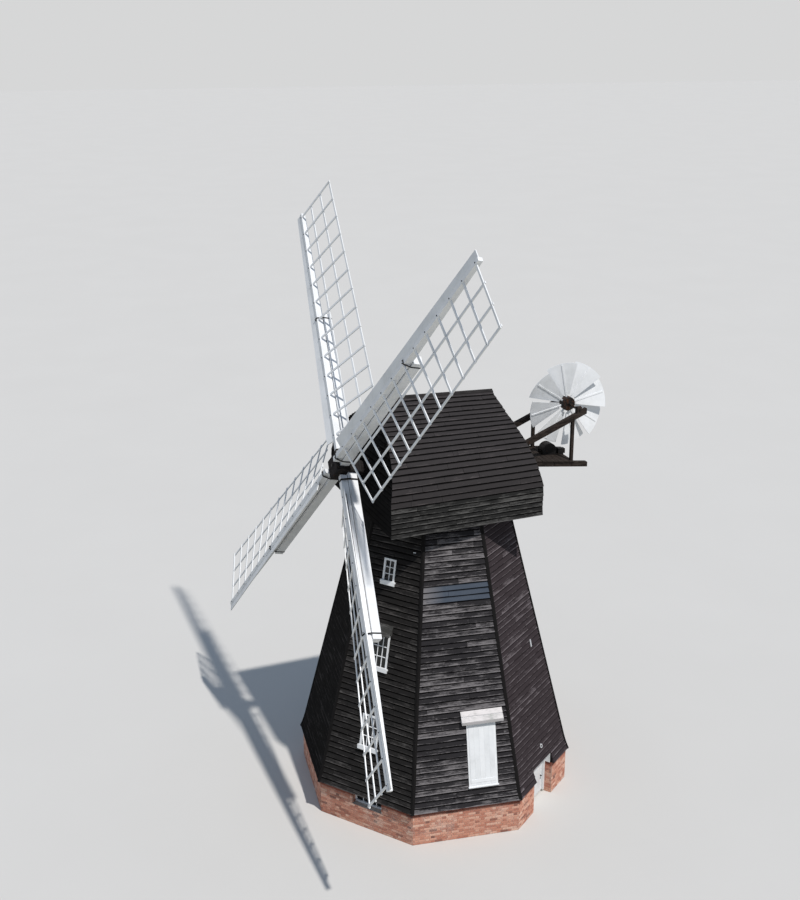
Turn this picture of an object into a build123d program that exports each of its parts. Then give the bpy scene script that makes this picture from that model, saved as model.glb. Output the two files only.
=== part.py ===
from build123d import *
from math import atan, cos, degrees, radians, sin, sqrt, tan
import os

# Traditional smock windmill: an octagonal boarded tower on a low brick base,
# a turning cap, four open lattice sails on a tilted windshaft, and a fantail.
# Millimetres, +Z up. The origin is the middle of the tower at the foot of the base.
# Side azimuths are counted from the front (-Y) towards the right (+X).

# Octagon
SIDES = 8
side_turn = 360 / SIDES
half_side = side_turn / 2
seat = 0.3                     # clearance where pieces are fitted into each other

# Brick base
base_apothem = 3930            # outer face of the brickwork
base_thick = 345
base_height = 1076
ground_floor_thick = 60

# Boarded tower
wall_foot_apothem = 3950       # outer face of the wall panels at their foot
wall_thick = 160
wall_top_z = 9400
batter = 0.2342                # inward slope of each side, per unit of height
batter_angle = degrees(atan(batter))
floor_thick = 90
first_floor_z = 1580
second_floor_z = 4050
third_floor_z = 6600

# Windows: widths, sills and heads measured up the sloping side
window_axis = -100
window_frame = 55
window_frame_depth = 90
window_proud = 45
window_sill_out = 80
window_sill_side = 50
window_sill_thick = 45
glass_thick = 8
low_window = (600, 1503, 1017)
middle_window = (600, 3968, 1040)
top_window = (400, 6557, 705)
base_window_left = -490
base_window_right = 545
base_window_sill_z = 690
base_window_set_back = 170

# Upper door on the front side
upper_door_left = 94
upper_door_width = 884
upper_door_foot = 572          # up the slope from the foot of the wall
upper_door_height = 1901
upper_door_post = 60
upper_door_thick = 45
upper_door_proud = 40
hood_left = -50
hood_right = 1185
hood_top = 2880
hood_out = 230
hood_drop = 250
hood_thick = 34
hood_fascia = 70
hood_bracket_thick = 40

# Ground door on the front right side
ground_door_left = -615
ground_door_right = 620
ground_door_head_z = 1450
ground_door_post = 80
ground_door_case_depth = 115
ground_door_thick = 45
ground_door_gap = 7
hinge_in = 14                  # of the pins' axis from the leaf's inner face
hinge_pin_radius = 7
hinge_bush_radius = 8
hinge_barrel_radius = 12.5
hinge_barrel_length = 80
hinge_bush_length = 30
hinge_strap_length = 300
hinge_strap_thick = 8
hinge_feet = (180, 930)        # of the hinges above the leaf's foot
lining_thick = 25

# Curb and cap ring
curb_height = 150
curb_width = 260
cap_ring_outer = 1950
cap_ring_inner = 1700
cap_ring_sides = 24
cap_ring_thick = 100
curb_gap = 30
skids = 12                     # blocks under the cap ring that slide on the curb
skid_length = 240
skid_width = 120

# Cap
cap_heading = -80.96           # azimuth that the sails face
cap_half_width = 2450
cap_eaves_z = 9297
cap_wall_z = 10185
cap_skin = 60
cap_front = 2370
cap_rear = 2330
cap_front_break_z = 10400
cap_rear_break_z = 10200
cap_front_lean = 0.22
cap_rear_lean = 0.23
ridge_rear_z = 12430
ridge_front_z = 12640
cap_curve = ((2450, 10185), (2345, 10690), (1985, 11190), (1290, 11700), (560, 12095))
ridge_slope = 0.5              # slope of the roof at its ridge
roof_courses = 20              # of boards on each curved side
ridge_board = 130
ridge_board_thick = 30
roof_over = 100                # the roof is drawn this much too long and cut to the leaning ends

# Cap frame
sheer_n = 900
sheer_width = 230
sheer_height = 250
cross_beam = 300
tail_beam_t = -1400

# Windshaft
shaft_axis_z = 10065           # where the shaft crosses the tower's axis
shaft_tilt = 12.46
shaft_radius = 225
shaft_flats = 16
shaft_flats_radius = 215       # to the corners of its flats
shaft_tail = -1230
shaft_tail_radius = 150          # to the corners of its flats, as the shaft tapers to its tail
gudgeon_radius = 60
gudgeon_length = 120
hub_reach = 3078               # from the tower's axis to the first pair of sails
poll_size = 560
poll_rim = 110                 # of the poll end beyond its stocks
neck_hole = 300
neck_s = 2020                  # of the neck along the shaft from the tower's axis
neck_length = 420
neck_block_half = 335

# Sails
sail_turn = 48.38              # turn of the first sail from upright
sail_radius = 9490
stock_half = 5410
stock_hub = (310, 265)         # width across the sail and depth, at the poll
stock_end = (255, 258)
pair_gap = 10
whip_heel_r = 330
whip_heel = (150, 215)
whip_tip = (110, 130)
whip_proud = (50, 35)          # of the whip's front before the line of the bars, heel and tip
lead_heel_width = 285
lead_tip_width = 215
lead_thick = 26
lead_lap = 30                  # of the leading board onto the whip
lead_past = 150                # of the leading board beyond the last bar
bars = 13
bar_first_r = 9340
bar_pitch = 692
bar_width = 62
bar_thick = 30
bar_past = 55
sail_width = 1806              # from the whip's axis to the outer lath
lath_width = 62
lath_thick = 28
lath_lap = 12                  # of the laths into the bars
twist_heel = -21.9             # weather of the sail at the shaft
twist_tip = -7.6

# Fantail
fan_t = -4438
fan_z = 11752
fan_radius = 1299
fan_vane_count = 8
fan_vane_gap = 0.8             # degrees left between a vane's edge and its eighth of the circle
fan_vane_inner = 300
fan_vane_thick = 14
fan_pitch = 15
fan_first_turn = 34            # of the first vane from the level line to the sails
fan_hub_radius = 215
fan_hub_width = 190
fan_spoke = 46
fan_shaft_radius = 32
fan_shaft_past = 30            # of the shaft's ends beyond the bearing blocks
fan_beam_n = 688
fan_beam = 150
fan_beam_axis_z = 11590        # at the fan shaft
fan_beam_slope = 0.397
fan_beam_end_t = -4690
fan_beam_start_t = -2120
stage_beam = 150
stage_beam_t = -3800
stage_beam_z = 10097           # of its axis at that t
stage_beam_slope = 0.132
stage_beam_end_t = -4790
stage_plank_thick = 36
stage_plank_over = 40
stage_from_t = -2420
stage_to_t = -4330
post_size = 92
near_post_t = -4253
far_post_t = -3655
bearing_block = 150
case_t, case_radius, case_rise, case_width = -3800, 240, 90, 300
box_t, box_size = -4230, 190
drum_t, drum_radius, drum_height = -3950, 160, 250

os.makedirs("parts", exist_ok=True)


def octagon_corner(apothem):
    """Half the length of an octagon's side at this apothem."""
    return apothem * tan(radians(half_side))


def wall_apothem(z):
    """Outer face of the boarded wall at height z."""
    return wall_foot_apothem - batter * (z - base_height)


def on_slope(v):
    """Height z of a point v up the sloping side."""
    return base_height + v * cos(radians(batter_angle))


def upright_plane(azimuth, apothem, z=0.0):
    """Plane on an upright side: x to the right from outside, y up, z outwards."""
    a = radians(azimuth)
    return Plane(
        origin=(apothem * sin(a), -apothem * cos(a), z),
        x_dir=(cos(a), sin(a), 0),
        z_dir=(sin(a), -cos(a), 0),
    )


def slope_plane(azimuth):
    """Plane on the sloping face of a side, with its origin at the wall's foot."""
    a = radians(azimuth)
    b = radians(batter_angle)
    return Plane(
        origin=(wall_foot_apothem * sin(a), -wall_foot_apothem * cos(a), base_height),
        x_dir=(cos(a), sin(a), 0),
        z_dir=(cos(b) * sin(a), -cos(b) * cos(a), sin(b)),
    )


def section_plane(azimuth, along):
    """Upright plane across a side, x outwards, y up, at a distance along it."""
    a = radians(azimuth)
    return Plane(
        origin=(along * cos(a), along * sin(a), 0),
        x_dir=(sin(a), -cos(a), 0),
        z_dir=(-cos(a), -sin(a), 0),
    )


def side_outline(outer, inner, left=None, right=None):
    """Plan of one side between its mitres, or from left to right where given."""
    lo = -octagon_corner(outer) if left is None else left
    ro = octagon_corner(outer) if right is None else right
    li = -octagon_corner(inner) if left is None else left
    ri = octagon_corner(inner) if right is None else right
    return [(lo, -outer), (ro, -outer), (ri, -inner), (li, -inner), (lo, -outer)]


def mitre_plane(azimuth, turn):
    """Upright plane through the axis at a corner of a side, its normal away from the side."""
    a = radians(azimuth + turn)
    outwards = 1 if turn > 0 else -1
    return Plane(origin=(0, 0, 0), z_dir=(outwards * cos(a), outwards * sin(a), 0))


def plan_plane(azimuth, z):
    """Level plane turned to a side."""
    a = radians(azimuth)
    return Plane(origin=(0, 0, z), x_dir=(cos(a), sin(a), 0), z_dir=(0, 0, 1))


def finish(piece, label, colour):
    """Name a piece, colour it and write it out."""
    piece.part.label = label
    piece.part.color = Color(*colour)
    export_step(piece.part, f"parts/{label}.step")


BRICK = (0.55, 0.28, 0.2)
TAR = (0.08, 0.07, 0.08)
WHITE = (0.92, 0.93, 0.95)
TIMBER = (0.25, 0.2, 0.16)
IRON = (0.1, 0.1, 0.1)
GLASS = (0.3, 0.36, 0.4)

# Side names in the order of their azimuths
side_names = ["front", "front_right", "right", "back_right", "back", "back_left", "left", "front_left"]
front_az, door_az = 0.0, side_turn
window_azimuths = (-side_turn, 180 - side_turn)

# Brick base
base_inner = base_apothem - base_thick
for number, side in enumerate(side_names):
    azimuth = number * side_turn
    spans = [("", None, None)]
    if azimuth == door_az:
        spans = [("_left_pier", None, ground_door_left), ("_right_pier", ground_door_right, None)]
    for suffix, left, right in spans:
        with BuildPart() as base_side:
            with BuildSketch(plan_plane(azimuth, 0)):
                with BuildLine():
                    Polyline(*side_outline(base_apothem, base_inner, left, right))
                make_face()
            extrude(amount=base_height)
            if side in ("front_left", "back_right"):
                window_width = base_window_right - base_window_left
                window_height = base_height - base_window_sill_z
                with BuildSketch(upright_plane(azimuth, base_apothem, base_window_sill_z)):
                    with Locations(((base_window_left + base_window_right) / 2, window_height / 2)):
                        Rectangle(window_width, window_height)
                extrude(amount=-base_thick, mode=Mode.SUBTRACT)
        finish(base_side, f"base_{side}{suffix}", BRICK)

# Tower walls
wall_foot_inner = wall_foot_apothem - wall_thick
wall_top_apothem = wall_apothem(wall_top_z)
wall_top_inner = wall_top_apothem - wall_thick
wall_section = [
    (wall_foot_apothem, base_height),
    (wall_top_apothem, wall_top_z),
    (wall_top_inner, wall_top_z),
    (wall_foot_inner, base_height),
    (wall_foot_apothem, base_height),
]
for number, side in enumerate(side_names):
    azimuth = number * side_turn
    with BuildPart() as wall:
        with BuildSketch(section_plane(azimuth, 0)):
            with BuildLine():
                Polyline(*wall_section)
            make_face()
        extrude(amount=octagon_corner(wall_foot_apothem), both=True)
        for turn in (-half_side, half_side):
            split(bisect_by=mitre_plane(azimuth, turn), keep=Keep.BOTTOM)
        if side in ("front_left", "back_right"):
            for width, foot, height in (low_window, middle_window, top_window):
                with BuildSketch(slope_plane(azimuth)):
                    with Locations((window_axis, foot + height / 2)):
                        Rectangle(width, height)
                extrude(amount=wall_thick + 60, both=True, mode=Mode.SUBTRACT)
        if azimuth == front_az:
            with BuildSketch(slope_plane(azimuth)):
                with Locations(
                    (upper_door_left + upper_door_width / 2, upper_door_foot + upper_door_height / 2)
                ):
                    Rectangle(upper_door_width, upper_door_height)
            extrude(amount=wall_thick + 60, both=True, mode=Mode.SUBTRACT)
        if azimuth == door_az:
            notch = ground_door_head_z - base_height
            with BuildSketch(upright_plane(azimuth, wall_foot_apothem, base_height)):
                with Locations(((ground_door_left + ground_door_right) / 2, notch / 2)):
                    Rectangle(ground_door_right - ground_door_left, notch)
            extrude(amount=-(wall_thick + batter * notch + 50), mode=Mode.SUBTRACT)
    finish(wall, f"wall_{side}", TAR)

# Floors
with BuildPart() as ground_floor:
    with BuildSketch():
        RegularPolygon(base_inner - seat, SIDES, major_radius=False, rotation=half_side)
    extrude(amount=ground_floor_thick)
finish(ground_floor, "ground_floor", (0.45, 0.42, 0.38))

floor_levels = {"first_floor": first_floor_z, "second_floor": second_floor_z, "third_floor": third_floor_z}
for label, top_z in floor_levels.items():
    with BuildPart() as floor:
        for z in (top_z - floor_thick, top_z):
            with BuildSketch(Plane.XY.offset(z)):
                RegularPolygon(
                    wall_apothem(z) - wall_thick - seat, SIDES, major_radius=False, rotation=half_side
                )
        loft(ruled=True)
    finish(floor, label, (0.5, 0.4, 0.28))

# Windows
base_window_width = base_window_right - base_window_left
base_window_height = base_height - base_window_sill_z
base_window_centre = ((base_window_left + base_window_right) / 2, base_window_height / 2)
base_window_face = base_apothem - base_window_set_back
with BuildPart() as window_frames:
    for azimuth in window_azimuths:
        for width, foot, height in (low_window, middle_window, top_window):
            with BuildSketch(slope_plane(azimuth).offset(window_proud)):
                with Locations((window_axis, foot + height / 2)):
                    Rectangle(width, height)
                    Rectangle(width - 2 * window_frame, height - 2 * window_frame, mode=Mode.SUBTRACT)
            extrude(amount=-window_frame_depth)
            with BuildSketch(slope_plane(azimuth)):
                with Locations((window_axis, foot + window_sill_thick / 2)):
                    Rectangle(width + 2 * window_sill_side, window_sill_thick)
            extrude(amount=window_sill_out)
        with BuildSketch(upright_plane(azimuth, base_window_face, base_window_sill_z)):
            with Locations(base_window_centre):
                Rectangle(base_window_width, base_window_height)
                Rectangle(
                    base_window_width - 2 * window_frame,
                    base_window_height - 2 * window_frame,
                    mode=Mode.SUBTRACT,
                )
        extrude(amount=-window_frame_depth)
finish(window_frames, "window_frames", WHITE)

with BuildPart() as window_glass:
    for azimuth in window_azimuths:
        for width, foot, height in (low_window, middle_window, top_window):
            with BuildSketch(slope_plane(azimuth).offset(window_proud - window_frame_depth / 2)):
                with Locations((window_axis, foot + height / 2)):
                    Rectangle(width - 2 * window_frame, height - 2 * window_frame)
            extrude(amount=-glass_thick)
        with BuildSketch(
            upright_plane(azimuth, base_window_face - window_frame_depth / 2, base_window_sill_z)
        ):
            with Locations(base_window_centre):
                Rectangle(base_window_width - 2 * window_frame, base_window_height - 2 * window_frame)
        extrude(amount=-glass_thick)
finish(window_glass, "window_glass", GLASS)

# Upper door
door_middle = upper_door_left + upper_door_width / 2
with BuildPart() as upper_door_frame:
    with BuildSketch(slope_plane(front_az).offset(upper_door_proud)):
        with Locations((door_middle, upper_door_foot + upper_door_height / 2)):
            Rectangle(upper_door_width, upper_door_height)
            Rectangle(
                upper_door_width - 2 * upper_door_post,
                upper_door_height - 2 * upper_door_post,
                mode=Mode.SUBTRACT,
            )
    extrude(amount=-(wall_thick * cos(radians(batter_angle)) + upper_door_proud))
finish(upper_door_frame, "upper_door_frame", WHITE)

with BuildPart() as upper_door:
    with BuildSketch(slope_plane(front_az).offset(upper_door_proud)):
        with Locations((door_middle, upper_door_foot + upper_door_height / 2)):
            Rectangle(upper_door_width - 2 * upper_door_post, upper_door_height - 2 * upper_door_post)
    extrude(amount=-upper_door_thick)
finish(upper_door, "upper_door", WHITE)

hood_top_z = on_slope(hood_top)
hood_wall = wall_apothem(hood_top_z)
hood_edge = hood_wall + hood_out
with BuildPart() as hood:
    with BuildSketch(section_plane(front_az, hood_right)):
        with BuildLine():
            Polyline(
                (hood_wall, hood_top_z),
                (hood_edge, hood_top_z - hood_drop),
                (hood_edge, hood_top_z - hood_drop - hood_fascia),
                (hood_edge - hood_thick, hood_top_z - hood_drop - hood_fascia),
                (hood_edge - hood_thick, hood_top_z - hood_drop),
                (hood_wall + batter * hood_thick, hood_top_z - hood_thick),
                (hood_wall, hood_top_z),
            )
        make_face()
    extrude(amount=hood_right - hood_left)
    for along in (hood_left + hood_bracket_thick, hood_right):
        with BuildSketch(section_plane(front_az, along)):
            with BuildLine():
                low_z = hood_top_z - hood_drop - hood_fascia
                Polyline(
                    (hood_wall, hood_top_z),
                    (hood_edge, hood_top_z - hood_drop),
                    (hood_edge, low_z),
                    (wall_apothem(low_z), low_z),
                    (hood_wall, hood_top_z),
                )
            make_face()
        extrude(amount=hood_bracket_thick)
finish(hood, "upper_door_hood", WHITE)

# Ground door, hung on two pins behind its left post
pin_u = ground_door_left + ground_door_post + ground_door_gap
leaf_foot = ground_floor_thick + ground_door_gap
case_outer = base_inner + ground_door_case_depth
door_width = ground_door_right - ground_door_left
door_centre = (ground_door_left + ground_door_right) / 2
with BuildPart() as ground_door_frame:
    case_height = ground_door_head_z - ground_floor_thick
    with BuildSketch(upright_plane(door_az, case_outer, ground_floor_thick)):
        with Locations((door_centre, case_height / 2)):
            Rectangle(door_width, case_height)
        with Locations((door_centre, (case_height - ground_door_post) / 2)):
            Rectangle(
                door_width - 2 * ground_door_post, case_height - ground_door_post, mode=Mode.SUBTRACT
            )
    extrude(amount=-ground_door_case_depth)
    lining_out = wall_apothem(ground_door_head_z) - case_outer
    lining_height = ground_door_head_z - base_height
    with BuildSketch(upright_plane(door_az, case_outer, base_height)):
        with Locations((door_centre, lining_height / 2)):
            Rectangle(door_width, lining_height)
        with Locations((door_centre, (lining_height - lining_thick) / 2)):
            Rectangle(door_width - 2 * lining_thick, lining_height - lining_thick, mode=Mode.SUBTRACT)
    extrude(amount=lining_out)
    for foot in hinge_feet:
        hinge_z = leaf_foot + foot
        for z in (hinge_z, hinge_z + hinge_bush_length + hinge_barrel_length):
            with BuildSketch(plan_plane(door_az, z)):
                with Locations((pin_u - ground_door_post / 2, hinge_in / 2 - base_inner)):
                    Rectangle(ground_door_post - 2 * hinge_bush_radius, hinge_in)
                with Locations((pin_u - ground_door_post / 4, hinge_in - base_inner)):
                    Rectangle(ground_door_post / 2, 2 * hinge_bush_radius)
                with Locations((pin_u, hinge_in - base_inner)):
                    Circle(hinge_bush_radius)
            extrude(amount=hinge_bush_length)
        with BuildSketch(plan_plane(door_az, hinge_z)):
            with Locations((pin_u, hinge_in - base_inner)):
                Circle(hinge_pin_radius)
        extrude(amount=hinge_barrel_length + 2 * hinge_bush_length)
finish(ground_door_frame, "ground_door_frame", WHITE)

leaf_width = door_width - 2 * ground_door_post - 2 * ground_door_gap
leaf_height = ground_door_head_z - ground_floor_thick - ground_door_post - 2 * ground_door_gap
with BuildPart() as ground_door:
    with BuildSketch(upright_plane(door_az, base_inner + ground_door_thick, leaf_foot)):
        with Locations((door_centre, leaf_height / 2)):
            Rectangle(leaf_width, leaf_height)
    extrude(amount=-ground_door_thick)
    for foot in hinge_feet:
        with BuildSketch(plan_plane(door_az, leaf_foot + foot + hinge_bush_length + seat)):
            with Locations((pin_u, hinge_in - base_inner)):
                Circle(hinge_barrel_radius)
            with Locations((pin_u + hinge_strap_length / 2, hinge_strap_thick / 2 - base_inner)):
                Rectangle(hinge_strap_length, hinge_strap_thick)
            with Locations((pin_u, hinge_in - base_inner)):
                Circle(hinge_pin_radius + seat, mode=Mode.SUBTRACT)
        extrude(amount=hinge_barrel_length - 2 * seat)
finish(ground_door, "ground_door", WHITE)

# Curb
with BuildPart() as curb:
    with BuildSketch(Plane.XY.offset(wall_top_z)):
        RegularPolygon(wall_top_apothem, SIDES, major_radius=False, rotation=half_side)
        RegularPolygon(
            wall_top_apothem - curb_width, SIDES, major_radius=False, rotation=half_side, mode=Mode.SUBTRACT
        )
    extrude(amount=curb_height)
finish(curb, "curb", TIMBER)

# Cap
# The cap's own planes: t runs from the tower's axis to the sails, n to their left side.
cap_dir = (sin(radians(cap_heading)), -cos(radians(cap_heading)))
cap_side = (-cap_dir[1], cap_dir[0])


def cap_point(t, n, z):
    """A point of the cap in the frame of the whole mill."""
    return (cap_dir[0] * t + cap_side[0] * n, cap_dir[1] * t + cap_side[1] * n, z)


def cap_cross(t):
    """Upright plane across the cap at t: x is n, y is up, its normal points to the sails."""
    return Plane(
        origin=cap_point(t, 0, 0), x_dir=(cap_side[0], cap_side[1], 0), z_dir=(cap_dir[0], cap_dir[1], 0)
    )


def cap_long(n):
    """Upright plane along the cap at n: x is t, y is up."""
    return Plane(
        origin=cap_point(0, n, 0), x_dir=(cap_dir[0], cap_dir[1], 0), z_dir=(-cap_side[0], -cap_side[1], 0)
    )


def cap_level(z):
    """Level plane: x is t, y is n."""
    return Plane(origin=(0, 0, z), x_dir=(cap_dir[0], cap_dir[1], 0), z_dir=(0, 0, 1))


def lean_front(z):
    """The front face of the cap at height z."""
    return cap_front - cap_front_lean * max(0.0, z - cap_front_break_z)


def lean_rear(z):
    """The rear face of the cap at height z, as a distance to the rear."""
    return cap_rear - cap_rear_lean * max(0.0, z - cap_rear_break_z)


def roof_points(ridge_z):
    """Half section of the roof, from the top of its low wall to the ridge."""
    stretch = (ridge_z - cap_wall_z) / (ridge_rear_z - cap_wall_z)
    return [(n, cap_wall_z + (z - cap_wall_z) * stretch) for n, z in cap_curve] + [(0, ridge_z)]


end_planes = ((-cap_rear - roof_over, ridge_rear_z), (cap_front + roof_over, ridge_front_z))


roof_clear_z = ridge_front_z + 300
front_face = [(lean_front(z), z) for z in (cap_eaves_z, cap_front_break_z, roof_clear_z)]
rear_face = [(-lean_rear(z), z) for z in (cap_eaves_z, cap_rear_break_z, roof_clear_z)]
cap_long_section = [*front_face, *reversed(rear_face), front_face[0]]

# Cap sides: curved boarded shells from the eaves to the ridge
def roof_line(ridge_z, inset, side=1):
    """Half section of the roof moved in square to itself, with one flat for each course of boards."""
    points = roof_points(ridge_z)
    moved = [(points[0][0] - inset, points[0][1])]
    for before, here, after in zip(points, points[1:], points[2:]):
        run = (after[0] - before[0], after[1] - before[1])
        length = sqrt(run[0] ** 2 + run[1] ** 2)
        moved.append((here[0] - inset * run[1] / length, here[1] + inset * run[0] / length))
    moved.append((0, points[-1][1] - inset * sqrt(1 + ridge_slope**2)))
    curve = Spline(*moved, tangents=[(0, 1), (-1, ridge_slope)], mode=Mode.PRIVATE)
    corners = [curve @ (k / roof_courses) for k in range(roof_courses + 1)]
    return [(side * corner.X, corner.Y) for corner in corners]


for label, side in (("cap_left_side", 1), ("cap_right_side", -1)):
    with BuildPart() as shell:
        for t, ridge_z in end_planes:
            with BuildSketch(cap_cross(t)):
                with BuildLine():
                    Polyline(
                        (side * cap_half_width, cap_eaves_z),
                        *roof_line(ridge_z, 0, side),
                        *reversed(roof_line(ridge_z, cap_skin, side)),
                        (side * (cap_half_width - cap_skin), cap_eaves_z),
                        (side * cap_half_width, cap_eaves_z),
                    )
                make_face()
        loft(ruled=True)
        with BuildSketch(cap_long(0)):
            with BuildLine():
                Polyline(*cap_long_section)
            make_face()
        extrude(amount=cap_half_width + cap_skin, both=True, mode=Mode.INTERSECT)
    finish(shell, label, TAR)

# Shaft directions: out along the windshaft, and the sails' upright and level
tilt = radians(shaft_tilt)
shaft_dir = (cap_dir[0] * cos(tilt), cap_dir[1] * cos(tilt), sin(tilt))
face_up = (-cap_dir[0] * sin(tilt), -cap_dir[1] * sin(tilt), cos(tilt))
face_right = (cap_side[0], cap_side[1], 0)


def along(*terms):
    """Sum of directions, each times its length, from the shaft's crossing of the axis."""
    total = [0.0, 0.0, shaft_axis_z]
    for length, direction in terms:
        for i in range(3):
            total[i] += length * direction[i]
    return tuple(total)


def shaft_plane(s):
    """Plane across the windshaft at a distance s along it, turned to the first pair of sails."""
    turn = radians(sail_turn)
    x_dir = tuple(cos(turn) * face_up[i] - sin(turn) * face_right[i] for i in range(3))
    return Plane(origin=along((s, shaft_dir)), x_dir=x_dir, z_dir=shaft_dir)


def sail_section(turn, offset, r, twist=0.0):
    """Plane across a sail at radius r: x to the trailing edge, y backwards, z outwards."""
    b, a = radians(turn), radians(twist)
    out = tuple(cos(b) * face_up[i] - sin(b) * face_right[i] for i in range(3))
    trail = tuple(sin(b) * face_up[i] + cos(b) * face_right[i] for i in range(3))
    chord = tuple(cos(a) * trail[i] + sin(a) * shaft_dir[i] for i in range(3))
    return Plane(origin=along((hub_reach + offset, shaft_dir), (r, out)), x_dir=chord, z_dir=out)


pair_offset = stock_hub[1] + pair_gap
whip_back = whip_heel[1] - whip_proud[0]
whip_tip_back = whip_tip[1] - whip_proud[1]
poll_back = hub_reach - whip_back - stock_hub[1] - poll_rim
poll_front = hub_reach + pair_offset - whip_back + poll_rim

def sail_face(turn, offset):
    """Plane of a sail: x to the trailing edge, y out along the sail, normal forwards."""
    section = sail_section(turn, offset, 0)
    return Plane(origin=section.origin, x_dir=section.x_dir, z_dir=shaft_dir)


def sail_side(turn, offset):
    """Plane along a sail seen from its edge: x backwards, y out along the sail."""
    section = sail_section(turn, offset, 0)
    return Plane(origin=section.origin, x_dir=section.y_dir, z_dir=section.x_dir)


def closed(points):
    """The same outline back to its start."""
    return [*points, points[0]]


# Stocks: one tapered beam for each pair of sails, flat on the face that carries the whips
stock_side = [
    (whip_back, -stock_half),
    (whip_back + stock_end[1], -stock_half),
    (whip_back + stock_hub[1], -whip_heel_r),
    (whip_back + stock_hub[1], whip_heel_r),
    (whip_back + stock_end[1], stock_half),
    (whip_back, stock_half),
]
stock_face = [
    (-stock_end[0] / 2, -stock_half),
    (stock_end[0] / 2, -stock_half),
    (stock_hub[0] / 2, -whip_heel_r),
    (stock_hub[0] / 2, whip_heel_r),
    (stock_end[0] / 2, stock_half),
    (-stock_end[0] / 2, stock_half),
    (-stock_hub[0] / 2, whip_heel_r),
    (-stock_hub[0] / 2, -whip_heel_r),
]
stocks = []
for label, turn, offset in (
    ("inner_stock", sail_turn, 0.0),
    ("outer_stock", sail_turn - 90, pair_offset),
):
    with BuildPart() as stock:
        with BuildSketch(sail_side(turn, offset)):
            with BuildLine():
                Polyline(*closed(stock_side))
            make_face()
        extrude(amount=stock_hub[0], both=True)
        with BuildSketch(sail_face(turn, offset)):
            with BuildLine():
                Polyline(*closed(stock_face))
            make_face()
        extrude(amount=2 * (whip_back + stock_hub[1]), both=True, mode=Mode.INTERSECT)
    finish(stock, label, WHITE)
    stocks.append(stock.part)

# Windshaft: a many-sided timber shaft with a round neck and tail pin, and a square poll end
neck_from, neck_to = neck_s - neck_length / 2, neck_s + neck_length / 2
with BuildPart() as windshaft:
    with BuildSketch(shaft_plane(shaft_tail)):
        RegularPolygon(shaft_tail_radius, shaft_flats)
    with BuildSketch(shaft_plane(neck_from)):
        RegularPolygon(shaft_flats_radius, shaft_flats)
    loft(ruled=True)
    with BuildSketch(shaft_plane(neck_to)):
        RegularPolygon(shaft_flats_radius, shaft_flats)
    extrude(amount=poll_back - neck_to)
    for start, end, radius in (
        (neck_from, neck_to, shaft_radius),
        (shaft_tail - gudgeon_length, shaft_tail, gudgeon_radius),
    ):
        with BuildSketch(shaft_plane(start)):
            Circle(radius)
        extrude(amount=end - start)
    with BuildSketch(shaft_plane(poll_back)):
        Rectangle(poll_size, poll_size)
    extrude(amount=poll_front - poll_back)
    add(stocks, mode=Mode.SUBTRACT)
finish(windshaft, "windshaft", IRON)

# Sails: whip, leading board, cross bars and three twisted laths
def twist_at(r):
    """Weather of the sail at radius r."""
    return twist_heel + (twist_tip - twist_heel) * r / sail_radius


bar_radii = [bar_first_r - bar_pitch * j for j in range(bars)]
bar_heel_r = bar_radii[-1]
whip_side = [
    (whip_back, whip_heel_r),
    (whip_back, stock_half),
    (whip_tip_back, sail_radius),
    (-whip_proud[1], sail_radius),
    (-whip_proud[0], whip_heel_r),
]
whip_face = [
    (-whip_heel[0] / 2, whip_heel_r),
    (whip_heel[0] / 2, whip_heel_r),
    (whip_tip[0] / 2, sail_radius),
    (-whip_tip[0] / 2, sail_radius),
]
for number in range(4):
    turn = sail_turn - 90 * number
    offset = pair_offset if number % 2 else 0.0
    with BuildPart() as sail:
        with BuildSketch(sail_side(turn, offset)):
            with BuildLine():
                Polyline(*closed(whip_side))
            make_face()
        extrude(amount=whip_heel[0], both=True)
        with BuildSketch(sail_face(turn, offset)):
            with BuildLine():
                Polyline(*closed(whip_face))
            make_face()
        extrude(amount=2 * whip_heel[1], both=True, mode=Mode.INTERSECT)
        for r, (width, depth), lead in (
            (bar_heel_r - lead_past, whip_heel, lead_heel_width),
            (sail_radius, whip_tip, lead_tip_width),
        ):
            with BuildSketch(sail_section(turn, offset, r, twist_at(r))):
                with Locations(((lead_lap - width - lead) / 2, 0)):
                    Rectangle(lead + lead_lap, lead_thick)
        loft(ruled=True)
        for r in bar_radii:
            with BuildSketch(sail_section(turn, offset, r, twist_at(r))):
                with Locations(((sail_width + bar_past) / 2, -bar_thick / 2)):
                    Rectangle(sail_width + bar_past, bar_thick)
            extrude(amount=bar_width / 2, both=True)
        for share in (1 / 3, 2 / 3, 1):
            for r in bar_radii[:: bars // 2]:
                reach = bar_width if r in (bar_radii[0], bar_radii[-1]) else 0
                reach *= 1 if r == bar_radii[0] else -1
                with BuildSketch(sail_section(turn, offset, r + reach, twist_at(r))):
                    with Locations((sail_width * share, lath_thick / 2 - lath_lap)):
                        Rectangle(lath_width, lath_thick)
            loft(ruled=True)
    finish(sail, f"sail_{number + 1}", WHITE)

# Fantail frame: raking beams, stage beams, posts and bearing blocks on both sides
def rake_z(t):
    """Height of the raking beam's axis at t."""
    return fan_beam_axis_z - fan_beam_slope * (t - fan_t)


def stage_z(t):
    """Height of the stage beam's axis at t."""
    return stage_beam_z + stage_beam_slope * (t - stage_beam_t)


def strip(height, below, above, a, b):
    """Outline in the long section between two heights over a sloping line, from t = a to t = b."""
    return [
        (a, height(a) + below),
        (a, height(a) + above),
        (b, height(b) + above),
        (b, height(b) + below),
        (a, height(a) + below),
    ]


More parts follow.
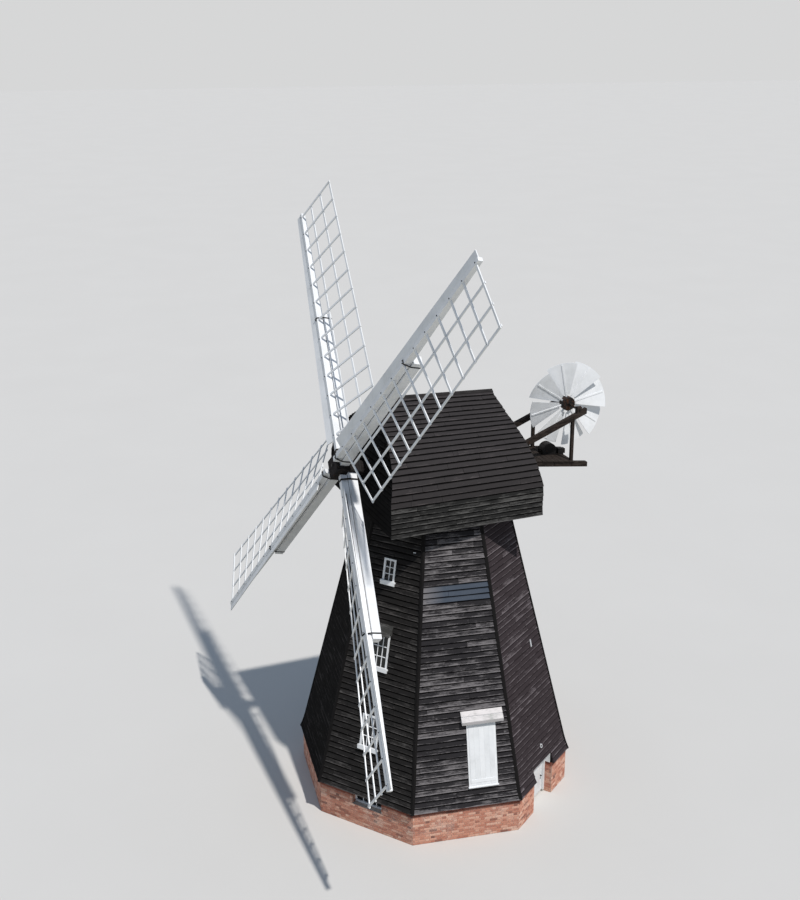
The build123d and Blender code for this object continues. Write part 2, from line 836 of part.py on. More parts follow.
rake_half = fan_beam / 2 * sqrt(1 + fan_beam_slope**2)
stage_half = stage_beam / 2 * sqrt(1 + stage_beam_slope**2)
with BuildPart() as fan_frame:
    for n, post_t in ((fan_beam_n, near_post_t), (-fan_beam_n, far_post_t)):
        with BuildSketch(cap_long(n)):
            with BuildLine():
                Polyline(*strip(rake_z, -rake_half, rake_half, fan_beam_start_t, fan_beam_end_t))
            make_face()
            with BuildLine():
                Polyline(*strip(stage_z, -stage_half, stage_half, fan_beam_start_t, stage_beam_end_t))
            make_face()
        extrude(amount=fan_beam / 2, both=True)
        with BuildSketch(cap_long(n)):
            with BuildLine():
                a, b = post_t - post_size / 2, post_t + post_size / 2
                Polyline((a, stage_z(a)), (a, rake_z(a)), (b, rake_z(b)), (b, stage_z(b)), (a, stage_z(a)))
            make_face()
        extrude(amount=post_size / 2, both=True)
        with BuildSketch(cap_long(n)):
            with BuildLine():
                a, b = fan_t - bearing_block / 2, fan_t + bearing_block / 2
                top = fan_z + bearing_block / 2
                Polyline((a, rake_z(a)), (a, top), (b, top), (b, rake_z(b)), (a, rake_z(a)))
            make_face()
        extrude(amount=bearing_block / 2, both=True)
    with BuildSketch(cap_long(0)):
        with Locations((fan_t, fan_z)):
            Circle(fan_shaft_radius + seat)
    extrude(amount=fan_beam_n + bearing_block, both=True, mode=Mode.SUBTRACT)
finish(fan_frame, "fan_frame", TIMBER)

# Fan stage: planks across the stage beams
stage_top = stage_half + stage_plank_thick
with BuildPart() as fan_stage:
    with BuildSketch(cap_long(0)):
        with BuildLine():
            Polyline(*strip(stage_z, stage_half, stage_top, stage_to_t, stage_from_t))
        make_face()
    extrude(amount=fan_beam_n + stage_beam / 2 + stage_plank_over, both=True)
    add(fan_frame.part, mode=Mode.SUBTRACT)
finish(fan_stage, "fan_stage", TIMBER)

# Drive of the fantail: a round-topped gear case and a box on the stage, a drum below it
with BuildPart() as fan_drive:
    with BuildSketch(cap_level(stage_z(drum_t) - drum_height)):
        with Locations((drum_t, 0)):
            Circle(drum_radius)
    extrude(amount=drum_height + 2 * stage_beam)
    with BuildSketch(cap_long(0)):
        with BuildLine():
            Polyline(*strip(stage_z, stage_half, 4 * stage_beam, drum_t - box_size, drum_t + box_size))
        make_face()
    extrude(amount=2 * drum_radius, both=True, mode=Mode.SUBTRACT)
    with BuildSketch(cap_long(0)):
        with BuildLine():
            a, b = case_t - case_radius, case_t + case_radius
            shoulder = stage_z(b) + stage_top + case_rise
            Polyline((b, shoulder), (b, stage_z(b) + stage_top), (a, stage_z(a) + stage_top), (a, shoulder))
            ThreePointArc((a, shoulder), (case_t, shoulder + case_radius), (b, shoulder))
        make_face()
    extrude(amount=case_width / 2, both=True)
    with BuildSketch(cap_long(0)):
        with BuildLine():
            a, b = box_t - box_size / 2, box_t + box_size / 2
            Polyline(*strip(stage_z, stage_top, stage_top + box_size, a, b))
        make_face()
    extrude(amount=box_size / 2, both=True)
finish(fan_drive, "fan_drive", IRON)

# Cap gables, between the curved sides
gable_inset = cap_skin + seat
gable_half = cap_half_width - gable_inset
for label, face, inward in (("cap_front", front_face, -cap_skin), ("cap_rear", rear_face, cap_skin)):
    with BuildPart() as gable:
        for t, ridge_z in end_planes:
            left, right = (roof_line(ridge_z, gable_inset, side) for side in (1, -1))
            with BuildSketch(cap_cross(t)):
                with BuildLine():
                    Polyline(
                        (gable_half, cap_eaves_z),
                        *left,
                        *reversed(right[:-1]),
                        (-gable_half, cap_eaves_z),
                        (gable_half, cap_eaves_z),
                    )
                make_face()
        loft(ruled=True)
        with BuildSketch(cap_long(0)):
            with BuildLine():
                Polyline(*face, *((t + inward, z) for t, z in reversed(face)), face[0])
            make_face()
        extrude(amount=cap_half_width, both=True, mode=Mode.INTERSECT)
        if label == "cap_front":
            with BuildSketch(shaft_plane(neck_s - 500)):
                Circle(neck_hole)
            extrude(amount=1500, mode=Mode.SUBTRACT)
        else:
            add(fan_frame.part, mode=Mode.SUBTRACT)
    finish(gable, label, TAR)

# Ridge board along the top of the cap
def ridge_z_at(t):
    """Height of the roof's ridge at t."""
    (rear_t, rear_z), (front_t, front_z) = end_planes
    return rear_z + (front_z - rear_z) * (t - rear_t) / (front_t - rear_t)


with BuildPart() as cap_ridge:
    with BuildSketch(cap_long(0)):
        with BuildLine():
            a, b = -lean_rear(ridge_rear_z), lean_front(ridge_front_z)
            Polyline(*strip(ridge_z_at, 0, ridge_board_thick, a, b))
        make_face()
    extrude(amount=ridge_board / 2, both=True)
finish(cap_ridge, "cap_ridge", TAR)

# Cap frame: turning ring, two sheers, the weather beam under the neck, the tail beam
ring_z = wall_top_z + curb_height + curb_gap
sheer_z = ring_z + cap_ring_thick
frame_front, frame_rear = cap_front - gable_inset, cap_rear - gable_inset
neck_t = neck_s * cos(tilt)
neck_z = shaft_axis_z + neck_s * sin(tilt)
weather_beam_top = cap_wall_z - 20
with BuildPart() as cap_frame:
    with BuildSketch(Plane.XY.offset(ring_z)):
        RegularPolygon(cap_ring_outer, cap_ring_sides)
        RegularPolygon(cap_ring_inner, cap_ring_sides, mode=Mode.SUBTRACT)
    extrude(amount=cap_ring_thick)
    with BuildSketch(Plane.XY.offset(ring_z)):
        with PolarLocations((cap_ring_outer + cap_ring_inner) / 2, skids):
            Rectangle(skid_width, skid_length)
    extrude(amount=seat - curb_gap)
    with BuildSketch(cap_level(sheer_z)):
        for n in (sheer_n, -sheer_n):
            with Locations(((frame_front - frame_rear) / 2, n)):
                Rectangle(frame_front + frame_rear, sheer_width)
        with Locations((tail_beam_t, 0)):
            Rectangle(cross_beam, 2 * gable_half)
    extrude(amount=sheer_height)
    with BuildSketch(cap_level(sheer_z)):
        with Locations((neck_t, 0)):
            Rectangle(cross_beam, 2 * gable_half)
    extrude(amount=weather_beam_top - sheer_z)
    with BuildSketch(cap_level(weather_beam_top)):
        with Locations((neck_t, 0)):
            Rectangle(cross_beam, 2 * neck_block_half)
    extrude(amount=neck_z - weather_beam_top)
    with BuildSketch(shaft_plane(neck_s - cross_beam)):
        Circle(shaft_radius + seat)
    extrude(amount=2 * cross_beam, mode=Mode.SUBTRACT)
    with BuildSketch(shaft_plane(shaft_tail - gudgeon_length - 40)):
        Circle(gudgeon_radius + seat)
    extrude(amount=gudgeon_length + 40, mode=Mode.SUBTRACT)
finish(cap_frame, "cap_frame", TIMBER)

# Fan: a hub on its shaft with eight pitched sector vanes
def spoke_plane(turn, r, pitch=0.0):
    """Plane across a spoke at radius r: x along its swing when unpitched, z outwards."""
    a, p = radians(turn), radians(pitch)
    out = (cap_dir[0] * cos(a), cap_dir[1] * cos(a), sin(a))
    swing = (-cap_dir[0] * sin(a), -cap_dir[1] * sin(a), cos(a))
    x_dir = tuple(cos(p) * swing[i] + sin(p) * face_right[i] for i in range(3))
    centre = cap_point(fan_t, 0, fan_z)
    return Plane(origin=tuple(centre[i] + r * out[i] for i in range(3)), x_dir=x_dir, z_dir=out)


def vane_plane(turn, pitch):
    """Plane of a pitched vane: x along the spoke, y across it, origin at the fan's centre."""
    section = spoke_plane(turn, 0, pitch)
    return Plane(origin=section.origin, x_dir=section.z_dir, z_dir=section.y_dir)


vane_half_angle = radians(180 / fan_vane_count - fan_vane_gap)
c, s = cos(vane_half_angle), sin(vane_half_angle)
with BuildPart() as fan_vanes:
    for k in range(fan_vane_count):
        turn = fan_first_turn + k * 360 / fan_vane_count
        with BuildSketch(vane_plane(turn, fan_pitch)):
            with BuildLine():
                ends = [(fan_radius * c, side * fan_radius * s) for side in (-1, 1)]
                heels = [(fan_vane_inner * c, side * fan_vane_inner * s) for side in (1, -1)]
                ThreePointArc(ends[0], (fan_radius, 0), ends[1])
                Polyline(ends[1], *heels, ends[0])
            make_face()
        extrude(amount=fan_vane_thick / 2, both=True)
        with BuildSketch(spoke_plane(turn, fan_hub_radius - fan_spoke, fan_pitch)):
            Rectangle(fan_spoke, fan_spoke)
        extrude(amount=fan_radius - fan_hub_radius)
finish(fan_vanes, "fan_vanes", WHITE)

with BuildPart() as fan_hub:
    with BuildSketch(cap_long(0)):
        with Locations((fan_t, fan_z)):
            Circle(fan_hub_radius)
    extrude(amount=fan_hub_width / 2, both=True)
    with BuildSketch(cap_long(0)):
        with Locations((fan_t, fan_z)):
            Circle(fan_shaft_radius)
    extrude(amount=fan_beam_n + bearing_block / 2 + fan_shaft_past, both=True)
    add(fan_vanes.part, mode=Mode.SUBTRACT)
finish(fan_hub, "fan_hub", IRON)
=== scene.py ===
# %% [markdown]
# # A smock windmill, dressed board by board
# The solids of the mill already stand in one frame: brick base, eight sloping walls, cap,
# sails and fantail. This lesson gives them what a visitor sees: lapped boards, single
# bricks, glazing bars, irons, and the paint, tar and rust on them.

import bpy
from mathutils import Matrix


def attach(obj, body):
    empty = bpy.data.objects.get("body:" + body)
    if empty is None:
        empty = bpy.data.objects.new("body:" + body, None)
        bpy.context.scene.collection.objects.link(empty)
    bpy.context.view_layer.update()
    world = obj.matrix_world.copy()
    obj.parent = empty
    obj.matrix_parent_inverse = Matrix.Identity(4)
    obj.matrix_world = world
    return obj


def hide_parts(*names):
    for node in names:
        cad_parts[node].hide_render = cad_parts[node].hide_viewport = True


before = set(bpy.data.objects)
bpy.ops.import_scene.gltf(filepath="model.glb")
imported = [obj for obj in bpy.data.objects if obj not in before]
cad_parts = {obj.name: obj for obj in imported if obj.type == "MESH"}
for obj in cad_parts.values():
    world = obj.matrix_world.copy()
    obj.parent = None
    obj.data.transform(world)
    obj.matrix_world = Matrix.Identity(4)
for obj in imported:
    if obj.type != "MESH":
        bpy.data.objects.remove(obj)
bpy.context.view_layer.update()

# %% [markdown]
# ## The joiner's bench
# Nearly everything on a mill is a long piece with a small section: a board, a bar, a strap,
# even a brick. One tool carries a section along a line for many pieces at once, as whole
# numpy arrays, and a second one puts the result into a mesh. Each piece also carries its own
# tone, a number by which the finish can tell one board from the next, and a grain map in
# metres along and across it.

# %% Sections carried along lines
from math import atan, cos, pi, radians, sin, sqrt, tan

import bpy
import numpy as np
from mathutils import Matrix, Vector

chance = np.random.default_rng(17)


def carried(sections):
    """Faces of sections[piece, station, corner, xyz]: walls between stations and two end faces.

    The volume of each piece is summed from its corners, and pieces that come out inside
    out have their faces turned, so that all of them point outwards.
    """
    pieces, stations, corners = sections.shape[:3]
    i, j = np.meshgrid(np.arange(stations - 1), np.arange(corners), indexing="ij")
    k = (j + 1) % corners
    walls = np.stack([i * corners + j, i * corners + k, (i + 1) * corners + k, (i + 1) * corners + j], -1)
    ends = np.stack([np.arange(corners)[::-1], (stations - 1) * corners + np.arange(corners)])
    flat = sections.reshape(pieces, -1, 3)
    centred = flat - flat.mean(1, keepdims=True)
    groups, size = [walls.reshape(-1, 4), ends], np.zeros(pieces)
    for group in groups:
        for m in range(1, group.shape[1] - 1):
            a, b, c = (centred[:, group[:, n]] for n in (0, m, m + 1))
            size += np.einsum("pfi,pfi->p", a, np.cross(b, c))
    shift = (np.arange(pieces) * stations * corners)[:, None, None]
    turned = (size < 0)[:, None, None]
    groups = [np.where(turned, g[None, :, ::-1], g[None]) + shift for g in groups]
    return flat.reshape(-1, 3), [g.reshape(-1, g.shape[-1]) for g in groups]


def assemble(name, bundles, finish, body):
    """One named piece from bundles of (sections, grain map, tones), riding on a body of the mill."""
    points, faces, grain, tones, start = [], [], [], [], 0
    for sections, mapped, tone in bundles:
        new_points, new_faces = carried(sections)
        faces += [row for group in new_faces for row in (group + start).tolist()]
        start += len(new_points)
        points.append(new_points)
        grain.append(np.broadcast_to(mapped, (*sections.shape[:3], 2)).reshape(-1, 2))
        tones.append(np.repeat(tone, sections.shape[1] * sections.shape[2]))
    points, grain, tones = (np.concatenate(x) for x in (points, grain, tones))
    mesh = bpy.data.meshes.new(name)
    mesh.from_pydata(points.tolist(), [], faces)
    corner = np.zeros(len(mesh.loops), np.int32)
    mesh.loops.foreach_get("vertex_index", corner)
    mesh.uv_layers.new(name="grain").data.foreach_set("uv", grain[corner].astype(np.float32).ravel())
    mesh.attributes.new("tone", "FLOAT", "POINT").data.foreach_set("value", tones.astype(np.float32))
    mesh.materials.append(finish)
    mesh.update()
    piece = bpy.data.objects.new(name, mesh)
    bpy.context.scene.collection.objects.link(piece)
    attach(piece, body)
    print(name, "-", sum(len(b[0]) for b in bundles), "parts,", len(faces), "faces")
    return piece


def unit(vectors):
    """Vectors brought to length one."""
    return vectors / np.linalg.norm(vectors, axis=-1, keepdims=True)


def sticks(starts, ends, wide, deep, facing, cut=0.003, stations=2, tone=None):
    """Straight sticks: a rectangle wide by deep with cut corners, carried from starts to ends.

    The deep side lies along facing, made square to the line, and the wide side across both.
    """
    starts, ends = np.atleast_2d(np.asarray(starts, float)), np.atleast_2d(np.asarray(ends, float))
    count = max(len(starts), len(ends))
    starts, ends = np.broadcast_to(starts, (count, 3)), np.broadcast_to(ends, (count, 3))
    wide, deep, cut = (np.broadcast_to(x, count).astype(float) for x in (wide, deep, cut))
    line = ends - starts
    length = np.linalg.norm(line, axis=1)
    along = unit(line)
    facing = np.broadcast_to(np.asarray(facing, float), (count, 3))
    facing = unit(facing - np.einsum("pi,pi->p", facing, along)[:, None] * along)
    across = np.cross(along, facing)
    w, d = wide / 2, deep / 2
    x = np.stack([cut - w, w - cut, w, w, w - cut, cut - w, -w, -w], -1)
    y = np.stack([-d, -d, cut - d, d - cut, d, d, d - cut, cut - d], -1)
    share = np.linspace(0, 1, stations)
    centre = starts[:, None] + share[None, :, None] * line[:, None]
    sections = centre[:, :, None] + x[:, None, :, None] * across[:, None, None]
    sections = sections + y[:, None, :, None] * facing[:, None, None]
    around = np.cumsum(np.hypot(np.diff(x, axis=1, prepend=x[:, :1]), np.diff(y, axis=1, prepend=y[:, :1])), 1)
    run = share[None] * length[:, None] + chance.uniform(0, 40, count)[:, None]
    mapped = np.stack(np.broadcast_arrays(run[:, :, None], around[:, None]), -1)
    return sections, mapped, chance.random(count) if tone is None else np.full(count, float(tone))


def rods(starts, ends, radius, corners=8, rounds=None):
    """Round rods from starts to ends: a circle of so many corners carried along each line.

    rounds gives radius shares at evenly spaced stations, for domes and necks.
    """
    starts, ends = np.atleast_2d(np.asarray(starts, float)), np.atleast_2d(np.asarray(ends, float))
    count = len(starts)
    radius = np.broadcast_to(radius, count).astype(float)
    shares = np.array([1.0, 1.0] if rounds is None else rounds)
    along = unit(ends - starts)
    side = np.where(np.abs(along[:, 2:]) < 0.9, [[0.0, 0.0, 1.0]], [[1.0, 0.0, 0.0]])
    first = unit(np.cross(along, side))
    second = np.cross(along, first)
    turn = np.linspace(0, 2 * pi, corners, endpoint=False)
    ring = first[:, None] * np.cos(turn)[None, :, None] + second[:, None] * np.sin(turn)[None, :, None]
    place = np.linspace(0, 1, len(shares))
    centre = starts[:, None] + place[None, :, None] * (ends - starts)[:, None]
    sections = centre[:, :, None] + (radius[:, None] * shares)[:, :, None, None] * ring[:, None]
    mapped = np.stack(np.broadcast_arrays(place[None, :, None], (turn / 10)[None, None]), -1)
    return sections, np.broadcast_to(mapped, (*sections.shape[:3], 2)), chance.random(count)


# %% [markdown]
# ## Mixing the finishes
# Every finish starts from the same few ingredients: noise drawn out along the grain, a ramp
# that turns a number into a colour, a mix of two colours, and a relief that catches light.
# Short helpers for these keep each recipe readable. New pieces read their own grain map;
# the solids, which have none, read the frame's own metres (Object coordinates).

# %% Ingredients of a finish
def fresh_finish(name, **constants):
    """A finish with nothing but its shader, whose plain constants are set on its own sockets."""
    finish = bpy.data.materials.new(name)
    finish.use_nodes = True
    shader = finish.node_tree.nodes["Principled BSDF"]
    for socket, value in constants.items():
        shader.inputs[socket.replace("_", " ")].default_value = value
    return finish, shader


def brew(finish, kind, settings=(), **inputs):
    """One more node of a finish; inputs are numbers, colours or other sockets, _3 means the fourth."""
    node = finish.node_tree.nodes.new(kind)
    for key, value in dict(settings).items():
        setattr(node, key, value)
    for key, value in inputs.items():
        socket = node.inputs[int(key[1:])] if key[0] == "_" else node.inputs[key.replace("_", " ")]
        if isinstance(value, bpy.types.NodeSocket):
            finish.node_tree.links.new(value, socket)
        else:
            socket.default_value = value
    return node


def where(finish, own, stretch=(1, 1, 1), turn=0.0):
    """Metres on the piece: its own grain map, or the frame's x, y, z turned about the upright."""
    source = brew(finish, "ShaderNodeTexCoord").outputs["UV" if own else "Object"]
    if turn:
        source = brew(finish, "ShaderNodeMapping", Vector=source, Rotation=(0, 0, turn)).outputs[0]
    return brew(finish, "ShaderNodeMapping", Vector=source, Scale=stretch).outputs[0]


def mottle(finish, place, size, detail=5.0, rough=0.6):
    """Noise from 0 to 1 with lumps of about this size."""
    node = brew(finish, "ShaderNodeTexNoise", Vector=place, Scale=1 / size, Detail=detail, Roughness=rough)
    return node.outputs["Fac"]


def sums(finish, operation, a, b=0.0, c=0.0):
    """One sum on two numbers or sockets."""
    node = brew(finish, "ShaderNodeMath", {"operation": operation}, _0=a, _1=b, _2=c)
    return node.outputs[0]


def weighed(finish, *parts):
    """Each value times its weight, all added up, from (value, weight) pairs."""
    total = None
    for value, weight in parts:
        part = sums(finish, "MULTIPLY", value, weight)
        total = part if total is None else sums(finish, "ADD", total, part)
    return total


def shade(finish, value, *stops):
    """A colour or grey read off a ramp of (place, colour) stops."""
    node = brew(finish, "ShaderNodeValToRGB", Fac=value)
    elements = node.color_ramp.elements
    for number, (place, colour) in enumerate(stops):
        item = elements[number] if number < 2 else elements.new(place)
        item.position = place
        item.color = (*colour, 1) if isinstance(colour, tuple) else (colour, colour, colour, 1)
    return node.outputs[0]


def layered(finish, share, under, over, kind="MIX"):
    """The colour over laid on the colour under, by share."""
    under, over = ((*c, 1) if isinstance(c, tuple) else c for c in (under, over))
    node = brew(finish, "ShaderNodeMix", {"data_type": "RGBA", "blend_type": kind}, _0=share, _6=under, _7=over)
    return node.outputs[2]


def relief(finish, shader, height, depth, strength=1.0):
    """The height, 0 to 1, raised by depth metres into the shader's normal."""
    node = brew(finish, "ShaderNodeBump", Height=height, Distance=depth, Strength=strength)
    finish.node_tree.links.new(node.outputs[0], shader.inputs["Normal"])


def pour(finish, shader, **results):
    """The mixed colours and numbers poured into the shader's sockets."""
    for socket, value in results.items():
        finish.node_tree.links.new(value, shader.inputs[socket.replace("_", " ")])


def tone_of(finish):
    """The tone of each board, brick or bar."""
    return brew(finish, "ShaderNodeAttribute", {"attribute_name": "tone"}).outputs["Fac"]


# %% [markdown]
# ### Tarred boards
# The boards are soft wood under many coats of tar. Sun and rain strip it along the grain, so
# grey streaks run along each board. The lower edge that sticks out is paler still, partly from
# wear and partly a painted highlight where it catches the sun. The strip that lies just under
# the next board is painted dark as the shade that the lap throws. A few newer boards are still
# smooth; on them a blue sheen of the sky is painted into the colour as a reflection, stronger
# towards +x. Their tone is above one.

# %% The tar's recipe
def tarred(name, bare, greyed, streak, tar, lap=0.171, own=True, strip=0.05, edge_wear_and_highlight=0.16):
    """Tarred boards: bare is how much grain shows through, greyed how pale whole boards get.

    lap is where the next board covers this one. Below it a dark strip is painted as the shade
    of the lap, and strip is how much of the colour that strip keeps. The last number is how
    much paler the lower edge is, partly wear and partly a painted highlight.
    """
    finish, shader = fresh_finish(name, Specular_IOR_Level=0.01)
    drawn = mottle(finish, where(finish, own, (1, 26, 1) if own else (1, 1, 26)), 0.5, 6, 0.62)
    short = mottle(finish, where(finish, own, (1, 5, 1) if own else (1, 1, 5)), 0.10, 3, 0.7)
    grain = weighed(finish, (drawn, 0.62), (short, 0.38))
    patch = mottle(finish, where(finish, own, (1, 3, 1)), 0.55, 3)
    tone = tone_of(finish)
    across = brew(finish, "ShaderNodeSeparateXYZ", Vector=where(finish, own)).outputs[1 if own else 2]
    # The lower edge is paler: partly wear, partly a painted highlight of the sun on it.
    edge = sums(finish, "MULTIPLY", shade(finish, across, (0.0, 1.0), (0.045, 0.0)), edge_wear_and_highlight if own else 0.0)
    worn = sums(finish, "ADD", grain, sums(finish, "MULTIPLY", sums(finish, "SUBTRACT", patch, 0.5), 0.55))
    worn = sums(finish, "ADD", worn, sums(finish, "MULTIPLY", sums(finish, "SUBTRACT", tone, 0.5), greyed))
    worn = sums(finish, "ADD", worn, edge)
    share = shade(finish, worn, (0.60 - bare, 0.0), (0.78 - bare, 1.0))
    hue = layered(finish, patch, streak, tuple(0.62 * c for c in streak))
    colour = layered(finish, share, tar, hue)
    # Newer boards (tone above one) get a blue sheen of the sky painted into their colour, a painted reflection that
    # grows towards +x.
    x = brew(finish, "ShaderNodeSeparateXYZ", Vector=where(finish, False)).outputs[0]
    clear = shade(finish, sums(finish, "ADD", x, 0.95), (0.0, 0.15), (0.6, 0.95))
    smooth_with_painted_sheen = sums(finish, "MULTIPLY", sums(finish, "GREATER_THAN", tone, 1.2), clear)
    colour = layered(finish, smooth_with_painted_sheen, colour, layered(finish, patch, (0.055, 0.070, 0.096), (0.085, 0.103, 0.132)))
    # Painted shade under the lap: the top of each board, under the next one, is darkened.
    painted_lap_shade = shade(finish, across, (lap - 0.056, 1.0), (lap - 0.026, strip))
    colour = layered(finish, 1.0, colour, painted_lap_shade if own else (1.0, 1.0, 1.0), "MULTIPLY")
    height = sums(finish, "ADD", grain, sums(finish, "MULTIPLY", patch, 0.5))
    relief(finish, shader, height, 0.006, 0.8)
    rough = shade(finish, sums(finish, "SUBTRACT", worn, smooth_with_painted_sheen), (0.0, 0.42), (0.9, 0.85))
    pour(finish, shader, Base_Color=colour, Roughness=rough)
    return finish


# Each side of the tower has its own tar, and part of their difference is painted light and shade. The front and the
# front right are paler where the sun falls. The front right also has a painted highlight on its board edges and a
# lighter painted lap shade. The front left is darker, and the other sides are near black with painted shade.
front_tar = tarred("tar_front", 0.09, 0.20, (0.27, 0.25, 0.255), (0.029, 0.027, 0.029))
right_tar = tarred("tar_front_right", 0.02, 0.20, (0.22, 0.19, 0.20), (0.044, 0.035, 0.038), strip=0.45, edge_wear_and_highlight=0.24)
left_tar = tarred("tar_front_left", 0.04, 0.14, (0.13, 0.12, 0.115), (0.022, 0.0205, 0.020))
shaded_sides_tar = tarred("tar_sides_painted_shade", 0.03, 0.14, (0.085, 0.077, 0.075), (0.0085, 0.008, 0.0082), strip=0.2)
roof_tar = tarred("tar_cap", 0.0, 0.10, (0.12, 0.105, 0.105), (0.042, 0.038, 0.0385), 0.175)
low_tar = tarred("tar_cap_foot", 0.09, 0.14, (0.14, 0.135, 0.13), (0.024, 0.0235, 0.023), 0.148)
# The gables' tar is darker than the roof's as painted shade, since the front gable stands out of the sun.
gable_shade_tar = tarred("tar_gables_painted_shade", 0.0, 0.05, (0.04, 0.037, 0.037), (0.009, 0.0085, 0.0085), 0.160)
flap_tar = tarred("tar_flaps", 0.12, 0.05, (0.16, 0.155, 0.15), (0.05, 0.049, 0.046), 0.400)
wall_tar = tarred("tar_backing", 0.0, 0.0, (0.05, 0.045, 0.045), (0.013, 0.012, 0.0125), own=False)

# %% [markdown]
# ### White paint
# Sails, windows and doors wear white lead paint. Fresh it is bright and a little glossy;
# outdoors it greys in the hollows, goes green where rain stands, and flakes in small spots
# down to the grey wood.

# %% The paint's recipe
def painted(name, own, dirt=0.14, white=(0.87, 0.875, 0.885)):
    """White paint with rain dirt, a little algae, and flaked spots; dirt from 0 to 1."""
    finish, shader = fresh_finish(name, Specular_IOR_Level=0.5)
    place = where(finish, own)
    cloud = mottle(finish, place, 0.7, 6, 0.6)
    drawn = mottle(finish, where(finish, own, (1, 8, 1) if own else (1, 1, 0.3)), 0.12, 4)
    spots = mottle(finish, place, 0.018, 3, 0.7)
    tone = tone_of(finish)
    colour = layered(finish, shade(finish, cloud, (0.35, 0.0), (0.75, 1.0)), white, tuple(0.86 * c for c in white))
    hollows = shade(finish, sums(finish, "MULTIPLY", cloud, drawn), (0.24, 0.0), (0.42, 1.0))
    grime = sums(finish, "MULTIPLY", hollows, dirt)
    colour = layered(finish, grime, colour, (0.40, 0.41, 0.37))
    shift = sums(finish, "MULTIPLY", tone, 0.10 if own else 0.0)
    colour = layered(finish, shift, colour, (0.62, 0.66, 0.70))
    loose = sums(finish, "ADD", spots, sums(finish, "MULTIPLY", cloud, 0.22))
    flaked = shade(finish, loose, (0.86, 0.0), (0.89, 0.75))
    colour = layered(finish, flaked, colour, (0.27, 0.24, 0.21))
    height = sums(finish, "SUBTRACT", sums(finish, "MULTIPLY", drawn, 0.5), flaked)
    relief(finish, shader, height, 0.0025, 0.7)
    rough = shade(finish, sums(finish, "ADD", grime, flaked), (0.0, 0.36), (1.0, 0.8))
    pour(finish, shader, Base_Color=colour, Roughness=rough)
    return finish


paint = painted("white_paint", True)
paint_solid = painted("white_paint_on_beams", False)
hood_paint = painted("weathered_white_paint", True, 0.9, (0.47, 0.44, 0.445))

# %% [markdown]
# ### Brick, mortar, timber, iron and glass
# Hand made bricks differ from one to the next, so the tone of each picks its clay: mostly
# red, some orange, some burnt dark. Old timber on the fantail is brown-black with pale
# grain. Irons are black with rust where water lies. Panes are thin and slightly wavy.

# %% The other recipes
def painted_eave_shadow(finish):
    """A painted shadow of the boards' overhang on the base's top courses: white below, red-brown close under the
    boards.
    """
    height = brew(finish, "ShaderNodeSeparateXYZ", Vector=where(finish, False)).outputs[2]
    ragged = sums(finish, "ADD", height, sums(finish, "MULTIPLY", mottle(finish, where(finish, False), 0.2), 0.06))
    return shade(finish, sums(finish, "SUBTRACT", ragged, 0.90), (0.03, (1.0, 1.0, 1.0)), (0.11, (0.42, 0.28, 0.26)))


def brick_finish():
    """Clay picked by tone, mottled, with lime bloom, pitted faces, and the painted shadow of the boards on its top
    courses.
    """
    finish, shader = fresh_finish("red_brick", Roughness=0.9, Specular_IOR_Level=0.25)
    place = where(finish, False)
    clay = shade(
        finish, tone_of(finish),
        (0.0, (0.27, 0.13, 0.10)), (1.0, (0.80, 0.50, 0.38)), (0.12, (0.52, 0.21, 0.145)),
        (0.55, (0.66, 0.31, 0.215)), (0.8, (0.74, 0.40, 0.29)),
    )
    pits = mottle(finish, place, 0.02, 6, 0.7)
    cloud = mottle(finish, place, 0.45, 4)
    colour = layered(finish, 1.0, clay, shade(finish, pits, (0.25, 0.62), (0.7, 1.15)), "MULTIPLY")
    bloom = shade(finish, sums(finish, "MULTIPLY", cloud, pits), (0.27, 0.0), (0.42, 0.55))
    colour = layered(finish, bloom, colour, (0.76, 0.66, 0.58))
    # The painted shadow of the boards on the top courses.
    colour = layered(finish, 1.0, colour, painted_eave_shadow(finish), "MULTIPLY")
    relief(finish, shader, pits, 0.004)
    pour(finish, shader, Base_Color=colour)
    return finish


def mortar_finish():
    """Lime mortar with sand, darkened on its top courses by the painted shadow of the boards."""
    finish, shader = fresh_finish("lime_mortar", Roughness=0.95, Specular_IOR_Level=0.2)
    place = where(finish, False)
    sand = mottle(finish, place, 0.008, 4, 0.8)
    cloud = mottle(finish, place, 0.5, 4)
    colour = shade(finish, weighed(finish, (sand, 0.4), (cloud, 0.6)), (0.3, (0.36, 0.29, 0.25)),
                   (0.7, (0.68, 0.60, 0.52)))
    # The painted shadow of the boards on the top courses.
    colour = layered(finish, 1.0, colour, painted_eave_shadow(finish), "MULTIPLY")
    relief(finish, shader, sand, 0.003)
    pour(finish, shader, Base_Color=colour)
    return finish


def timber_finish(name, own, dark, pale, turn=0.0):
    """Bare or tarred oak: noise drawn out along the beam, with cracks along the grain."""
    finish, shader = fresh_finish(name, Roughness=0.85, Specular_IOR_Level=0.08)
    grain = mottle(finish, where(finish, own, (1, 18, 1) if own else (1, 14, 14), turn), 0.45, 6, 0.65)
    cloud = mottle(finish, where(finish, own), 0.3, 4)
    cracks = shade(finish, grain, (0.30, 1.0), (0.37, 0.0))
    mixed = weighed(finish, (grain, 0.7), (cloud, 0.3))
    colour = shade(finish, mixed, (0.38, dark), (0.66, pale))
    colour = layered(finish, sums(finish, "MULTIPLY", cracks, 0.8), colour, (0.008, 0.007, 0.006))
    relief(finish, shader, sums(finish, "SUBTRACT", grain, cracks), 0.004)
    pour(finish, shader, Base_Color=colour)
    return finish


